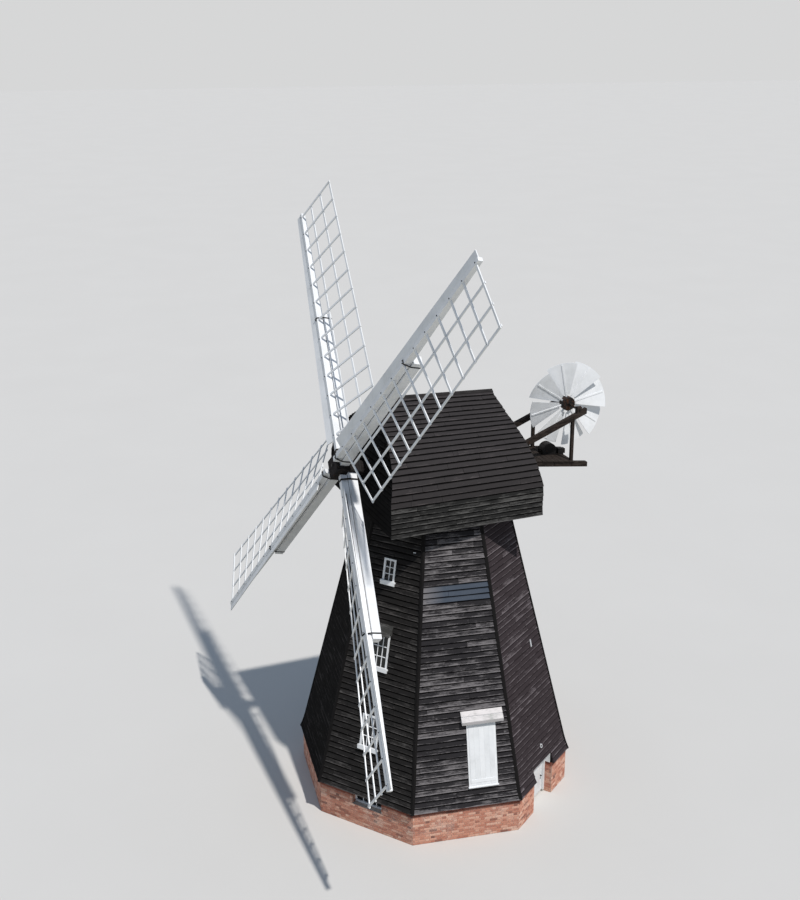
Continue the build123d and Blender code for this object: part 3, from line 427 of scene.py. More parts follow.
def iron_finish(name, rust):
    """Black iron with rust: more of it where a coarse and a fine noise agree."""
    finish, shader = fresh_finish(name, Metallic=0.1, Specular_IOR_Level=0.15)
    place = where(finish, False)
    lumps, fine = mottle(finish, place, 0.12, 5), mottle(finish, place, 0.012, 4, 0.7)
    agree = weighed(finish, (lumps, 0.6), (fine, 0.4))
    share = shade(finish, agree, (0.60 - rust, 0.0), (0.72 - rust, 1.0))
    rusted = layered(finish, fine, (0.05, 0.021, 0.012), (0.15, 0.06, 0.028))
    colour = layered(finish, share, (0.014, 0.013, 0.013), rusted)
    relief(finish, shader, fine, 0.002)
    pour(finish, shader, Base_Color=colour, Roughness=shade(finish, share, (0.0, 0.5), (1.0, 0.9)))
    return finish


def lead_finish():
    """Dull lead, tarred over with the roof, dressed with soft dents."""
    finish, shader = fresh_finish("lead_sheet", Specular_IOR_Level=0.05)
    place = where(finish, False)
    cloud, dents = mottle(finish, place, 0.25, 5), mottle(finish, place, 0.08, 2)
    relief(finish, shader, dents, 0.006)
    pour(finish, shader, Base_Color=shade(finish, cloud, (0.3, (0.026, 0.024, 0.024)), (0.75, (0.050, 0.046, 0.046))),
         Roughness=shade(finish, cloud, (0.2, 0.5), (0.8, 0.8)))
    return finish


def pane_finish():
    """Old drawn glass: dark, clear and slightly wavy, with dust in patches."""
    finish, shader = fresh_finish("window_pane", IOR=1.45, Transmission_Weight=0.5, Specular_IOR_Level=0.15)
    place = where(finish, False)
    waves, dust = mottle(finish, place, 0.16, 2), mottle(finish, place, 0.35, 6, 0.7)
    relief(finish, shader, waves, 0.002, 0.5)
    # The near-black colour is painted shade of the room behind the glass.
    pour(finish, shader, Base_Color=shade(finish, dust, (0.35, (0.012, 0.014, 0.018)), (0.8, (0.06, 0.062, 0.055))),
         Roughness=shade(finish, dust, (0.4, 0.05), (0.8, 0.3)))
    return finish


def boarded_floor():
    """Floor boards 0.2 wide laid along y: each its own brown, with a dark gap between."""
    finish, shader = fresh_finish("floor_planks", Roughness=0.7, Specular_IOR_Level=0.35)
    place = where(finish, False)
    x = brew(finish, "ShaderNodeSeparateXYZ", Vector=place).outputs[0]
    strip = sums(finish, "MULTIPLY", x, 5.0)
    gap = shade(finish, sums(finish, "PINGPONG", strip, 0.5), (0.0, 0.0), (0.03, 1.0))
    board = sums(finish, "FLOOR", strip)
    each = brew(finish, "ShaderNodeTexWhiteNoise", {"noise_dimensions": "1D"}, W=board).outputs[0]
    grain = mottle(finish, where(finish, False, (14, 1, 14)), 0.5, 5)
    mixed = weighed(finish, (grain, 0.6), (each, 0.4))
    colour = shade(finish, mixed, (0.2, (0.16, 0.105, 0.065)), (0.8, (0.36, 0.26, 0.17)))
    colour = layered(finish, 1.0, colour, gap, "MULTIPLY")
    relief(finish, shader, sums(finish, "ADD", gap, sums(finish, "MULTIPLY", grain, 0.2)), 0.003)
    pour(finish, shader, Base_Color=colour)
    return finish


def stone_floor():
    """Flagstones 0.6 by 0.45: grey, worn, with mortar between."""
    finish, shader = fresh_finish("floor_flags", Roughness=0.8, Specular_IOR_Level=0.3)
    place = where(finish, False)
    flags = brew(
        finish, "ShaderNodeTexBrick", Vector=place, Scale=1.0, Mortar_Size=0.008, Brick_Width=0.6, Row_Height=0.45,
        Color1=(0.26, 0.25, 0.23, 1), Color2=(0.36, 0.35, 0.32, 1), Mortar=(0.12, 0.11, 0.1, 1),
    )
    wear = mottle(finish, place, 0.3, 6)
    colour = layered(finish, 1.0, flags.outputs[0], shade(finish, wear, (0.3, 0.75), (0.7, 1.1)), "MULTIPLY")
    relief(finish, shader, sums(finish, "SUBTRACT", wear, flags.outputs[1]), 0.004)
    pour(finish, shader, Base_Color=colour)
    return finish


cap_heading = radians(-80.96)
cap_turn = -cap_heading
brick, mortar, lead, pane = brick_finish(), mortar_finish(), lead_finish(), pane_finish()
planks_floor, flags_floor = boarded_floor(), stone_floor()
oak = timber_finish("dark_oak", True, (0.012, 0.010, 0.009), (0.055, 0.043, 0.037))
oak_solid = timber_finish("dark_oak_beams", False, (0.012, 0.010, 0.009), (0.062, 0.047, 0.040), pi / 2 + cap_turn)
poll_oak = timber_finish("weathered_shaft", False, (0.010, 0.009, 0.009), (0.042, 0.036, 0.036), pi / 2 + cap_turn)
iron, rusty_iron = iron_finish("black_iron", 0.02), iron_finish("rusty_iron", 0.10)
print("finishes:", len([m for m in bpy.data.materials if m.use_nodes]))

# %% [markdown]
# ## Boards on the tower
# Each of the eight sides carries about fifty courses of boards, each lapped over the one
# below so that rain runs off. A single plane with a bump pattern would not cast the small
# shadows that make a boarded wall, so every board is a real wedge: thick at its lower edge,
# thin where the next one covers it. Boards wander a few millimetres, differ in tone and butt
# against each other at random places. They are left out where windows and doors come
# through, and the lowest courses kick outwards to throw the rain clear of the bricks.

# %% Where a side lies
sides = 8
side_turn = 2 * pi / sides
foot_apothem, foot_z, wall_top_z, batter = 3.950, 1.076, 9.400, 0.2342
batter_angle = atan(batter)
side_names = ["front", "front_right", "right", "back_right", "back", "back_left", "left", "front_left"]


def compass(azimuth):
    """Level directions of a side: outwards, and to the right seen from outside."""
    return np.array([sin(azimuth), -cos(azimuth), 0]), np.array([cos(azimuth), sin(azimuth), 0])


def slope_frame(azimuth):
    """Origin at the foot of a sloping side, then right, up the slope, and out of it."""
    out, right = compass(azimuth)
    up = -sin(batter_angle) * out + cos(batter_angle) * np.array([0, 0, 1])
    square = cos(batter_angle) * out + sin(batter_angle) * np.array([0, 0, 1])
    return foot_apothem * out + [0, 0, foot_z], right, up, square


def upright_frame(azimuth, apothem):
    """The same for an upright face at this apothem, from the mill's foot."""
    out, right = compass(azimuth)
    return apothem * out, right, np.array([0.0, 0.0, 1.0]), out


def on(plane, u, v, w=0.0):
    """Points on a plane: origin + u right + v up + w out, for numbers or whole arrays."""
    u, v, w = np.broadcast_arrays(u, v, w)
    origin, right, up, out = plane
    return origin + u[..., None] * right + v[..., None] * up + w[..., None] * out


slope_height = (wall_top_z - foot_z) / cos(batter_angle)
print("slope height", round(slope_height, 3), "side at foot", round(2 * foot_apothem * tan(side_turn / 2), 3))

# %% Courses of lapped boards
def course_spans(rows, pitch, lap, limits, openings, joint_every):
    """Board lengths of each course, cut at openings and at random butt joints.

    Each is (left and right at its foot, left and right at its head, foot, head, course).
    """
    found = []
    for row in rows:
        foot, head = row * pitch, (row + 1) * pitch + lap
        (l0, r0), (l1, r1) = limits(foot, row), limits(head, row)
        spans = [(l0, r0, l1, r1, foot, head)]
        for a, b, c, d in openings:
            cut = []
            for s in spans:
                if s[0] >= b or s[1] <= a or c >= s[5] - 0.005 or d <= s[4] + 0.005:
                    cut.append(s)
                    continue
                cut += [(s[0], a, s[2], a, s[4], s[5])] if s[0] < a else []
                cut += [(b, s[1], b, s[3], s[4], s[5])] if s[1] > b else []
                cut += [(a, b, a, b, s[4], c)] if c > s[4] + 0.01 else []
                cut += [(a, b, a, b, d, s[5])] if d < s[5] - 0.01 else []
            spans = cut
        for l0, r0, l1, r1, low, high in spans:
            joints = max(0, round((r0 - l0) / joint_every + chance.uniform(-0.45, 0.45)))
            shares = np.sort(np.concatenate([[0.0], chance.uniform(0.1, 0.9, joints), [1.0]]))
            for a, b in zip(shares[:-1], shares[1:]):
                if (b - a) * (r0 - l0) < 0.05:
                    continue
                left, right = (l0, l1), (r0, r1)
                if a > 0:
                    left = (l0 + a * (r0 - l0) + 0.003,) * 2
                if b < 1:
                    right = (l0 + b * (r0 - l0) - 0.003,) * 2
                found.append((left[0], right[0], left[1], right[1], low, high, row))
    return np.array(found)


def lapped(rows, pitch, limits, place, openings=(), lap=0.022, joint_every=3.0, proud=0.030, thin=0.006,
           wander=0.003, kick=None, stations=7, fresh=None):
    """Lapped boards: out from the wall runs evenly from proud at a course's foot to thin at its head.

    place(along, up, out, course) puts them on the wall. The lower edge wanders by a sum of
    two sines of the way along, whose phases each board draws for itself.
    """
    spans = course_spans(rows, pitch, lap, limits, openings, joint_every)
    count = len(spans)
    l0, r0, l1, r1, low, high, row = (spans[:, n, None, None] for n in range(7))
    soft, back = 0.004, -0.002
    up = np.concatenate([low, low, low + soft, high, high], 2)
    rise = (up - low) / (high - low)
    share = np.linspace(0, 1, stations)[None, :, None]
    left, right = l0 + (l1 - l0) * rise, r0 + (r1 - r0) * rise
    along = left + (right - left) * share
    phase = chance.uniform(0, 2 * pi, (3, count, 1, 1))
    wave = np.sin(2.1 * along + phase[0]) + 0.6 * np.sin(5.3 * along + phase[1])
    at_edge = np.array([1, 1, 1, 0, 0])[None, None]
    out = proud + (thin - proud) * (up - row * pitch) / (pitch + lap)
    out = out + at_edge * (wander * np.sin(3.3 * along + phase[2]) + chance.uniform(-0.003, 0.004, (count, 1, 1)))
    if kick is not None:
        out = out + kick(up)
    out = np.where(np.array([1, 0, 0, 0, 1])[None, None] > 0, back, out)
    out = out - soft * np.array([0, 1, 0, 0, 0])[None, None]
    wavy = up + at_edge * wander * wave
    sections = place(along, wavy, out, np.broadcast_to(row, along.shape))
    grain = np.stack(np.broadcast_arrays(along + 37 * chance.random((count, 1, 1)), up - row * pitch), -1)
    tone = chance.random(count)
    if fresh is not None:
        tone = np.where(fresh(spans), 1.6, tone)
    return sections, grain, tone


board_pitch = slope_height / 50
windows = {"low": (0.600, 1.503, 1.017), "middle": (0.600, 3.968, 1.040), "top": (0.400, 6.557, 0.705)}
window_axis = -0.100
window_openings = [
    (window_axis - w / 2, window_axis + w / 2, foot, foot + height) for w, foot, height in windows.values()
]
window_sides = (-side_turn, pi - side_turn)
door_slope = (0.094, 0.978, 0.572, 2.473)
doorway_left, doorway_right, doorway_head = -0.615, 0.620, 1.450
low_left, low_right, low_sill = -0.490, 0.545, 0.690
notch = (doorway_left, doorway_right, -1.0, (doorway_head - foot_z) / cos(batter_angle))
openings = {
    "front": [door_slope], "front_right": [notch], "front_left": window_openings, "back_right": window_openings,
}


def side_edges(v, row):
    """Half the side's length at height v up the slope, left and right."""
    half = (foot_apothem - v * sin(batter_angle)) * tan(side_turn / 2)
    return -half, half


def kicked(v):
    """The foot of the wall swings out by up to 45 mm over its lowest half metre."""
    return 0.045 * np.clip(1 - v / 0.5, 0, 1) ** 2


for number, side in enumerate(side_names):
    plane = slope_frame(number * side_turn)
    newer = (lambda s: (s[:, 4] > 6.07) & (s[:, 4] < 6.55)) if side == "front" else None
    boards = lapped(np.arange(50), board_pitch, side_edges, lambda u, v, w, row: on(plane, u, v, w),
                    openings.get(side, []), kick=kicked, fresh=newer)
    coat = {"front": front_tar, "front_right": right_tar, "front_left": left_tar}.get(side, shaded_sides_tar)
    assemble(f"boards_{side}", [boards], coat, "tower")

# %% [markdown]
# Where two sides meet, a corner board covers the ends of the courses. It is one bent section
# carried up the arris, cut into lengths, and it follows the kick at the foot.

# %% Corner boards
def corner_boards(leg=0.050, thick=0.036, pieces=4):
    """Bent strips up each arris: corner(v) runs up where two sides meet, legs lie on both."""
    bundles = []
    for number in range(sides):
        first, second = number * side_turn, (number + 1) * side_turn
        (out_a, right_a), (out_b, right_b) = compass(first), compass(second)
        middle = unit(out_a + out_b)
        cuts = np.linspace(0, slope_height, pieces + 1)
        v = np.stack([np.linspace(a + 0.002, b - 0.002, 14) for a, b in zip(cuts[:-1], cuts[1:])])
        z = foot_z + v * cos(batter_angle)
        apothem = foot_apothem - v * sin(batter_angle) + kicked(v)
        ridge = apothem[..., None] / cos(side_turn / 2) * middle + z[..., None] * np.array([0, 0, 1.0])
        wob = 0.004 * np.sin(4 * v + number)[..., None]
        inset = 0.05 * middle
        section = np.stack([
            ridge - inset - leg * right_a, ridge - (leg + wob) * right_a + thick * out_a,
            ridge + thick / cos(side_turn / 2) * middle, ridge + (leg - wob) * right_b + thick * out_b,
            ridge - inset + leg * right_b, ridge - 1.5 * inset,
        ], 2)
        grain = np.stack(np.broadcast_arrays(v[..., None] + 5 * number, np.array([0, 0.04, 0.11, 0.11, 0.04, 0])), -1)
        bundles.append((section, grain, chance.random(pieces) * 0.3))
    return bundles


corner_tar = tarred("tar_corners", -0.01, 0.1, (0.10, 0.09, 0.09), (0.014, 0.013, 0.013), 0.400)
assemble("corner_boards", corner_boards(), corner_tar, "tower")

# %% [markdown]
# ## The brick base
# The base is laid in alternating headers and stretchers, the bond of old farm buildings.
# Each brick stands a few millimetres out of the mortar, no two alike, so light picks them
# out one by one. The same bricks return into the reveals of the doorway and the windows.

# %% Bricks
base_apothem, brick_course = 3.930, foot_z / 14
stretcher, header, joint = 0.215, 0.1025, 0.010


def brick_wall(plane, left, right, foot=0.0, head=foot_z, openings=()):
    """Bricks on a plane: each row repeats stretcher and header, odd rows moved by half a repeat."""
    repeat = stretcher + header + 2 * joint
    starts, ends = [], []
    for row in range(int(round(foot / brick_course)), int(round(head / brick_course))):
        z = (row + 0.5) * brick_course
        first = left - repeat + (row % 2) * repeat / 2
        lefts = first + repeat * np.arange(int((right - first) / repeat) + 2)
        spans = np.concatenate([np.stack([lefts, lefts + stretcher], 1),
                                np.stack([lefts + stretcher + joint, lefts + repeat - joint], 1)])
        clear = [(left, right)]
        for a, b, c, d in openings:
            if c < z < d:
                clear = [part for l, r in clear for part in ((l, min(a, r)), (max(b, l), r)) if part[1] > part[0]]
        for l, r in clear:
            cut = np.clip(spans, l + joint / 3, r - joint / 3)
            cut = cut[cut[:, 1] - cut[:, 0] > 0.03]
            starts.append(np.stack([cut[:, 0], np.full(len(cut), z)], 1))
            ends.append(np.stack([cut[:, 1], np.full(len(cut), z)], 1))
    starts, ends = np.concatenate(starts), np.concatenate(ends)
    proud = chance.uniform(-0.0015, 0.0025, len(starts))
    tilt = chance.uniform(-0.0015, 0.0015, len(starts))
    a, b = on(plane, starts[:, 0], starts[:, 1] - tilt, proud), on(plane, ends[:, 0], ends[:, 1] + tilt, proud)
    return sticks(a, b, brick_course - joint, 0.016, plane[3], cut=0.004)


base_half = base_apothem * tan(side_turn / 2)
low_window = [(low_left, low_right, low_sill, 2)]
base_openings = {
    "front_right": [(doorway_left, doorway_right, -1, 2)], "front_left": low_window, "back_right": low_window,
}
laid = []
for number, side in enumerate(side_names):
    plane = upright_frame(number * side_turn, base_apothem)
    laid.append(brick_wall(plane, -base_half, base_half, openings=base_openings.get(side, [])))


def reveal(azimuth, u, inwards, foot, towards):
    """Bricks on the return of an opening at u, running inwards from the face; towards is +1 or -1."""
    out, right = compass(azimuth)
    plane = (base_apothem * out + u * right, -out, np.array([0, 0, 1.0]), towards * right)
    return brick_wall(plane, 0.012, inwards, foot)


laid += [reveal(side_turn, doorway_left, 0.228, 0, 1), reveal(side_turn, doorway_right, 0.228, 0, -1)]
for azimuth in window_sides:
    laid += [reveal(azimuth, low_left, 0.168, low_sill, 1), reveal(azimuth, low_right, 0.168, low_sill, -1)]
assemble("bricks", laid, brick, "tower")

# %% [markdown]
# ## Windows
# A pane between bars is what makes a window read at a distance. The frames and panes are
# solids already; bars and drip noses are added here as small sticks on the plane of each
# window. Tarred boards shed water over the middle window.

# %% Bars and drip noses
def glazing(plane, left, right, foot, head, columns, rows, depth=0.010, bar=0.024):
    """Bars that divide an opening into columns and rows of panes, let a little into its frame."""
    out = plane[3]
    across = np.linspace(left, right, columns + 1)[1:-1]
    up = np.linspace(foot, head, rows + 1)[1:-1]
    return [
        sticks(on(plane, across, foot, depth), on(plane, across, head, depth), bar, 0.030, out, cut=0.007),
        sticks(on(plane, left, up, depth), on(plane, right, up, depth), bar, 0.030, out, cut=0.007),
    ]


bars, frame_wide = [], 0.055
for azimuth in window_sides:
    plane = slope_frame(azimuth)
    for (w, foot, height), panes in zip(windows.values(), ((3, 3), (3, 3), (2, 3))):
        l, r = window_axis - w / 2, window_axis + w / 2
        bars += glazing(plane, l + frame_wide, r - frame_wide, foot + frame_wide, foot + height - frame_wide, *panes)
        sill = [on(plane, u, foot - 0.005, 0.062) for u in (l - 0.035, r + 0.035)]
        bars.append(sticks(*sill, 0.140, 0.052, plane[3], cut=0.010))
    low = upright_frame(azimuth, base_apothem - 0.170 - 0.035)
    bars += glazing(low, low_left + frame_wide, low_right - frame_wide, low_sill + frame_wide,
                    foot_z - frame_wide, 4, 2)
assemble("glazing_bars", bars, paint, "tower")

flaps = []
for azimuth in window_sides:
    plane = slope_frame(azimuth)
    w, foot, height = windows["middle"]
    top, l, r = foot + height, window_axis - w / 2 - 0.06, window_axis + w / 2 + 0.06
    for v, out in ((top + 0.25, 0.045), (top + 0.15, 0.105), (top + 0.05, 0.165)):
        flaps.append(sticks(on(plane, l, v, out), on(plane, r, v, out), 0.13, 0.022, plane[3] + 0.55 * plane[2]))
    for u in (l + 0.03, r - 0.03):
        flaps.append(sticks(on(plane, u, top + 0.02, 0.02), on(plane, u, top + 0.27, 0.02), 0.03, 0.06, plane[3]))
assemble("window_flaps", flaps, flap_tar, "tower")

# %% [markdown]
# ## Doors
# The upper door is boarded upright and painted, with a ledge near its foot, under a small
# hood of two boards. The ground door is boarded the same way inside its case.

# %% Upper door and hood
plane = slope_frame(0.0)
post = 0.06
left, right, foot, head = door_slope[0] + post, door_slope[1] - post, door_slope[2] + post, door_slope[3] - post
edges = np.linspace(left, right, 6)
middles = (edges[:-1] + edges[1:]) / 2
ledge = [on(plane, u, foot + 0.125, 0.050) for u in (left, right)]
threshold = [on(plane, u, foot - 0.05, 0.055) for u in (door_slope[0] - 0.02, door_slope[1] + 0.02)]
door_boards = [
    sticks(on(plane, middles, foot, 0.042), on(plane, middles, head, 0.042), edges[1] - edges[0] - 0.001,
           0.012, plane[3], cut=0.002, stations=4),
    sticks(*ledge, 0.10, 0.014, plane[3]),
    sticks(*threshold, 0.045, 0.05, plane[3], cut=0.008),
]
assemble("upper_door_boards", door_boards, paint, "tower")

hood_z = foot_z + 2.880 * cos(batter_angle)
hood_top = (foot_apothem - batter * (hood_z - foot_z), hood_z)
hood_edge = (hood_top[0] + 0.230, hood_top[1] - 0.250)
fall = unit(np.array([hood_edge[0] - hood_top[0], hood_edge[1] - hood_top[1]]))
hood, hood_from, hood_to = [], [-0.062, 0, 0], [1.197, 0, 0]
for share in (0.26, 0.77):
    a, z = (hood_top[n] + share * (hood_edge[n] - hood_top[n]) for n in (0, 1))
    normal = np.array([0, fall[1], fall[0]])
    centre = np.array([0, -a, z]) + 0.008 * normal
    hood.append(sticks(centre + hood_from, centre + hood_to, 0.160, 0.020, normal, stations=5))
nose = np.array([0, -hood_edge[0] - 0.006, hood_edge[1] - 0.040])
hood.append(sticks(nose + hood_from, nose + hood_to, 0.085, 0.016, (0, -1, 0), stations=5))
assemble("upper_door_hood_boards", hood, hood_paint, "tower")

# %% Ground door
plane = upright_frame(side_turn, 3.630)
left, right = -0.526, 0.531
edges = np.linspace(left, right, 8)
middles = (edges[:-1] + edges[1:]) / 2
leaf = [sticks(on(plane, middles, 0.070, 0.001), on(plane, middles, 1.360, 0.001), edges[1] - edges[0] - 0.002,
               0.014, plane[3], cut=0.004, stations=3)]
assemble("ground_door_boards", leaf, paint, "ground_door_leaf")
grip = [rods(on(plane, 0.44, 0.62, 0.006), on(plane, 0.44, 0.62, 0.030), 0.028, 12, [1, 1, 0.7]),
        rods(on(plane, 0.44, 0.62, 0.028), on(plane, 0.44, 0.62, 0.052), 0.018, 12, [0.6, 1, 0.8]),
        sticks(on(plane, 0.44, 0.50, 0.010), on(plane, 0.44, 0.56, 0.010), 0.045, 0.006, plane[3])]
assemble("ground_door_grip", grip, iron, "ground_door_leaf")

# %% [markdown]
# ## The cap
# Carpenters board a cap like an upturned boat: courses run from gable to gable, each bent
# plank lapped over the one below. The roof's section is a smooth curve from the low wall to
# the ridge. It is worked out here as a cubic curve through five measured points, with its
# slope given at both ends, and cut into twenty equal courses. The same section grows a
# little taller towards the sails.

# %% The roof's curve
eaves_z, low_top_z, half_width = 9.297, 10.185, 2.450
rear_t, front_t, ridge_rear, ridge_front = -2.430, 2.470, 12.430, 12.640
curve_points = np.array([(2.450, 10.185), (2.345, 10.690), (1.985, 11.190), (1.290, 11.700), (0.560, 12.095)])


def roof_corners(ridge_z, courses=20):
    """Corners of the courses on one side of the section, from the low wall's top to the ridge.

    A cubic runs between each two points; the slopes at the inner points are the ones that
    keep the bend steady there, found from one set of linear equations in the lengths of the
    chords. Equal lengths along the curve then give the corners.
    """
    stretch = (ridge_z - low_top_z) / (ridge_rear - low_top_z)
    p = np.vstack([curve_points, [0, ridge_rear]])
    p[:, 1] = low_top_z + (p[:, 1] - low_top_z) * stretch
    h = np.linalg.norm(np.diff(p, axis=0), axis=1)
    n = len(p)
    matrix, rhs = np.eye(n), np.zeros((n, 2))
    rhs[0], rhs[-1] = (0, 1), np.array([-1, 0.5]) / sqrt(1.25)
    i = np.arange(1, n - 1)
    matrix[i, i - 1], matrix[i, i], matrix[i, i + 1] = h[1:], 2 * (h[:-1] + h[1:]), h[:-1]
    d = np.diff(p, axis=0) / h[:, None]
    rhs[1:-1] = 3 * (h[1:, None] * d[:-1] + h[:-1, None] * d[1:])
    m = np.linalg.solve(matrix, rhs)
    s = np.linspace(0, 1, 200)[None, :, None]
    a, b, ma, mb, hh = p[:-1, None], p[1:, None], m[:-1, None], m[1:, None], h[:, None, None]
    fine = ((2 * s**3 - 3 * s**2 + 1) * a + (s**3 - 2 * s**2 + s) * hh * ma
            + (3 * s**2 - 2 * s**3) * b + (s**3 - s**2) * hh * mb).reshape(-1, 2)
    run = np.concatenate([[0], np.cumsum(np.linalg.norm(np.diff(fine, axis=0), axis=1))])
    at = np.linspace(0, run[-1], courses + 1)
    return np.stack([np.interp(at, run, fine[:, 0]), np.interp(at, run, fine[:, 1])], 1), run[-1] / courses


low_courses, roof_courses = 6, 20
low_pitch = (low_top_z - eaves_z) / low_courses
low_part = np.stack([np.full(low_courses, half_width), eaves_z + low_pitch * np.arange(low_courses)], 1)
section_rear = np.vstack([low_part, roof_corners(ridge_rear)[0]])
section_front = np.vstack([low_part, roof_corners(ridge_front)[0]])
roof_pitch = roof_corners(ridge_rear)[1]
shell = np.array([v.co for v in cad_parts["cap_left_side"].data.vertices])
cap_dir = np.array([sin(cap_heading), -cos(cap_heading), 0])
cap_side = np.array([-cap_dir[1], cap_dir[0], 0])
print("course on the low wall", round(low_pitch, 4), "on the curve", round(roof_pitch, 4),
      "shell reaches n", round(float((shell @ cap_side).max()), 3))


def cap_point(t, n, z):
    """A point of the cap: t towards the sails, n to their left side, z up."""
    t, n, z = np.broadcast_arrays(t, n, z)
    return t[..., None] * cap_dir + n[..., None] * cap_side + z[..., None] * np.array([0, 0, 1.0])


def lean_front(z):
    """The front face at height z: upright to 10.4, then leaning in."""
    return 2.370 - 0.22 * np.maximum(0, z - 10.400)


def lean_rear(z):
    """The rear face at height z, as a distance to the rear."""
    return 2.330 - 0.23 * np.maximum(0, z - 10.200)


def roof_at(t, rise, course):
    """n and z of the roof at t, rise being the share of the way up that course's flat, and its outward slant."""
    share = ((t - rear_t) / (front_t - rear_t))[..., None]
    k = course.astype(int)
    foot = section_rear[k] * (1 - share) + section_front[k] * share
    head = section_rear[k + 1] * (1 - share) + section_front[k + 1] * share
    step = head - foot
    slant = unit(np.stack([step[..., 1], -step[..., 0]], -1))
    return foot + rise[..., None] * step, slant


# %% Boards on the cap's sides
def cap_boards(side, courses, first, pitch, **looks):
    """Courses of boards on one side of the cap; first is the number of the lowest flat.

    Their ends are uneven. At the front they pass the gable by 22 to 28 mm and no more, so that
    the turning sails stay clear of them.
    """

    def place(t, up, out, course):
        flat, slant = roof_at(t, up / pitch - course, course + first)
        n, z = flat[..., 0] + out * slant[..., 0], flat[..., 1] + out * slant[..., 1]
        return cap_point(t, side * n, z)

    def ends(up, course):
        uneven = sin(17.3 * course + side)
        past, past_rear = 0.025 + 0.0025 * uneven, 0.004 + 0.008 * uneven
        t_rear, t_front = -2.2, 2.2
        for _ in range(4):
            level = [roof_at(np.array(t), np.array(up / pitch - course), np.array(course + first))[0][1]
                     for t in (t_rear, t_front)]
            t_rear, t_front = -float(lean_rear(level[0])) - past_rear, float(lean_front(level[1])) + past
        return t_rear, t_front

    return lapped(np.arange(courses), pitch, ends, place, lap=0.018, joint_every=2.4, stations=9, **looks)


for label, side in (("left", 1), ("right", -1)):
    assemble(f"cap_boards_{label}", [cap_boards(side, roof_courses, low_courses, roof_pitch, proud=0.034)],
             roof_tar, "cap")
    assemble(f"cap_foot_boards_{label}", [cap_boards(side, low_courses, 0, low_pitch, proud=0.034)],
             low_tar, "cap")

# %% [markdown]
# The gables are boarded level. Their boards end under the roof's courses, so each one is as
# long as the section is wide at its height. At the front they leave a square round the neck
# of the windshaft, closed by four trim boards.

# %% Gable boards
neck_z = 10.58


def gable(face, sign, section, rows, openings=()):
    """Level boards on a gable: their ends follow the section's half width less a little."""

    def ends(up, row):
        half = float(np.interp(eaves_z + up, section[:, 1], section[:, 0])) - 0.010
        return -half, max(half, -half + 0.02)

    def place(n, up, out, row):
        z = eaves_z + up
        return cap_point(sign * (face(z) + out), n, z)

    return lapped(np.arange(rows), 0.160, ends, place, openings, proud=0.022, thin=0.004, wander=0.002,
                  joint_every=3.2)


around_neck = [(-0.36, 0.36, neck_z - 0.36 - eaves_z, neck_z + 0.36 - eaves_z)]
front_gable = gable(lean_front, 1, section_front, 20, around_neck)
assemble("cap_front_boards", [front_gable], gable_shade_tar, "cap")
assemble("cap_rear_boards", [gable(lean_rear, -1, section_rear, 19)], gable_shade_tar, "cap")
trim = []
for (n0, z0), (n1, z1) in (((-0.41, -0.36), (0.41, -0.36)), ((-0.41, 0.36), (0.41, 0.36)),
                           ((-0.36, -0.40), (-0.36, 0.40)), ((0.36, -0.40), (0.36, 0.40))):
    a, b = (cap_point(lean_front(neck_z + z) + 0.014, n, neck_z + z) for n, z in ((n0, z0), (n1, z1)))
    trim.append(sticks(a, b, 0.085, 0.030, cap_dir))
assemble("neck_trim", trim, oak, "cap")

# %% Ridge roll
share = np.linspace(0, 1, 30)
t_ends = (-float(lean_rear(ridge_rear)) - 0.03, float(lean_front(ridge_front)) + 0.02)
t = t_ends[0] + (t_ends[1] - t_ends[0]) * share
ridge_z = ridge_rear + (ridge_front - ridge_rear) * (t - rear_t) / (front_t - rear_t)
turn = np.linspace(-0.15, pi + 0.15, 11)
skirt_n = np.concatenate([[0.090], 0.026 * np.cos(turn), [-0.090]])
skirt_z = np.concatenate([[-0.014], 0.014 + 0.026 * np.sin(turn), [-0.014]])
outer = cap_point(t[:, None], skirt_n[None], ridge_z[:, None] + skirt_z[None] + 0.012)
under = cap_point(t[:, None], np.array([[-0.08, 0.08]]), ridge_z[:, None] - 0.05)
roll = np.concatenate([outer, under], 1)
cuts = [(0, 10), (10, 20), (20, 29)]
bundles = []
for a, b in cuts:
    part = np.concatenate([roll[a:b], roll[b:b + 1] - 0.004 * cap_dir], 0)
    grain = np.zeros((1, *part.shape[:2], 2))
    bundles.append((part[None], grain, chance.random(1)))
assemble("ridge_roll", bundles, lead, "cap")

# %% [markdown]
# ## Sails and their irons
# The sails hang on two stocks, and straps hold each sail to its stock: one beside the poll
# end and one near the stock's end. The sails' own solids stay; straps, bolts and joints
# are placed by the same directions that carry the sails: out from the shaft, to the
# trailing edge, and backwards along the shaft. The joints are dark strips: partly real
# gaps between stock, whip and leading board, their darkness painted shade.

# %% Where the sails lie
axis_z, shaft_tilt, hub_reach, pair_offset = 10.065, radians(12.46), 3.078, 0.275
sail_radius, stock_half, first_turn = 9.490, 5.410, radians(48.38)
whip_back_heel, stock_deep, poll_rim = 0.165, 0.265, 0.110
shaft_dir = cos(shaft_tilt) * cap_dir + np.array([0, 0, sin(shaft_tilt)])
face_up = -sin(shaft_tilt) * cap_dir + np.array([0, 0, cos(shaft_tilt)])
shaft_start = np.array([0, 0, axis_z])


def sail_frame(number):
    """Origin of a sail on the shaft, then its trailing side, outwards, and backwards."""
    b = radians(48.38 - 90 * number)
    out, trail = cos(b) * face_up - sin(b) * cap_side, sin(b) * face_up + cos(b) * cap_side
    return shaft_start + (hub_reach + pair_offset * (number % 2)) * shaft_dir, trail, out, -shaft_dir


def between(r, at_heel, at_end, heel=0.330, end=sail_radius):
    """A size that runs evenly along a stock or a whip from its heel to its end."""
    return at_heel + (at_end - at_heel) * np.clip((np.abs(r) - heel) / (end - heel), 0, 1)


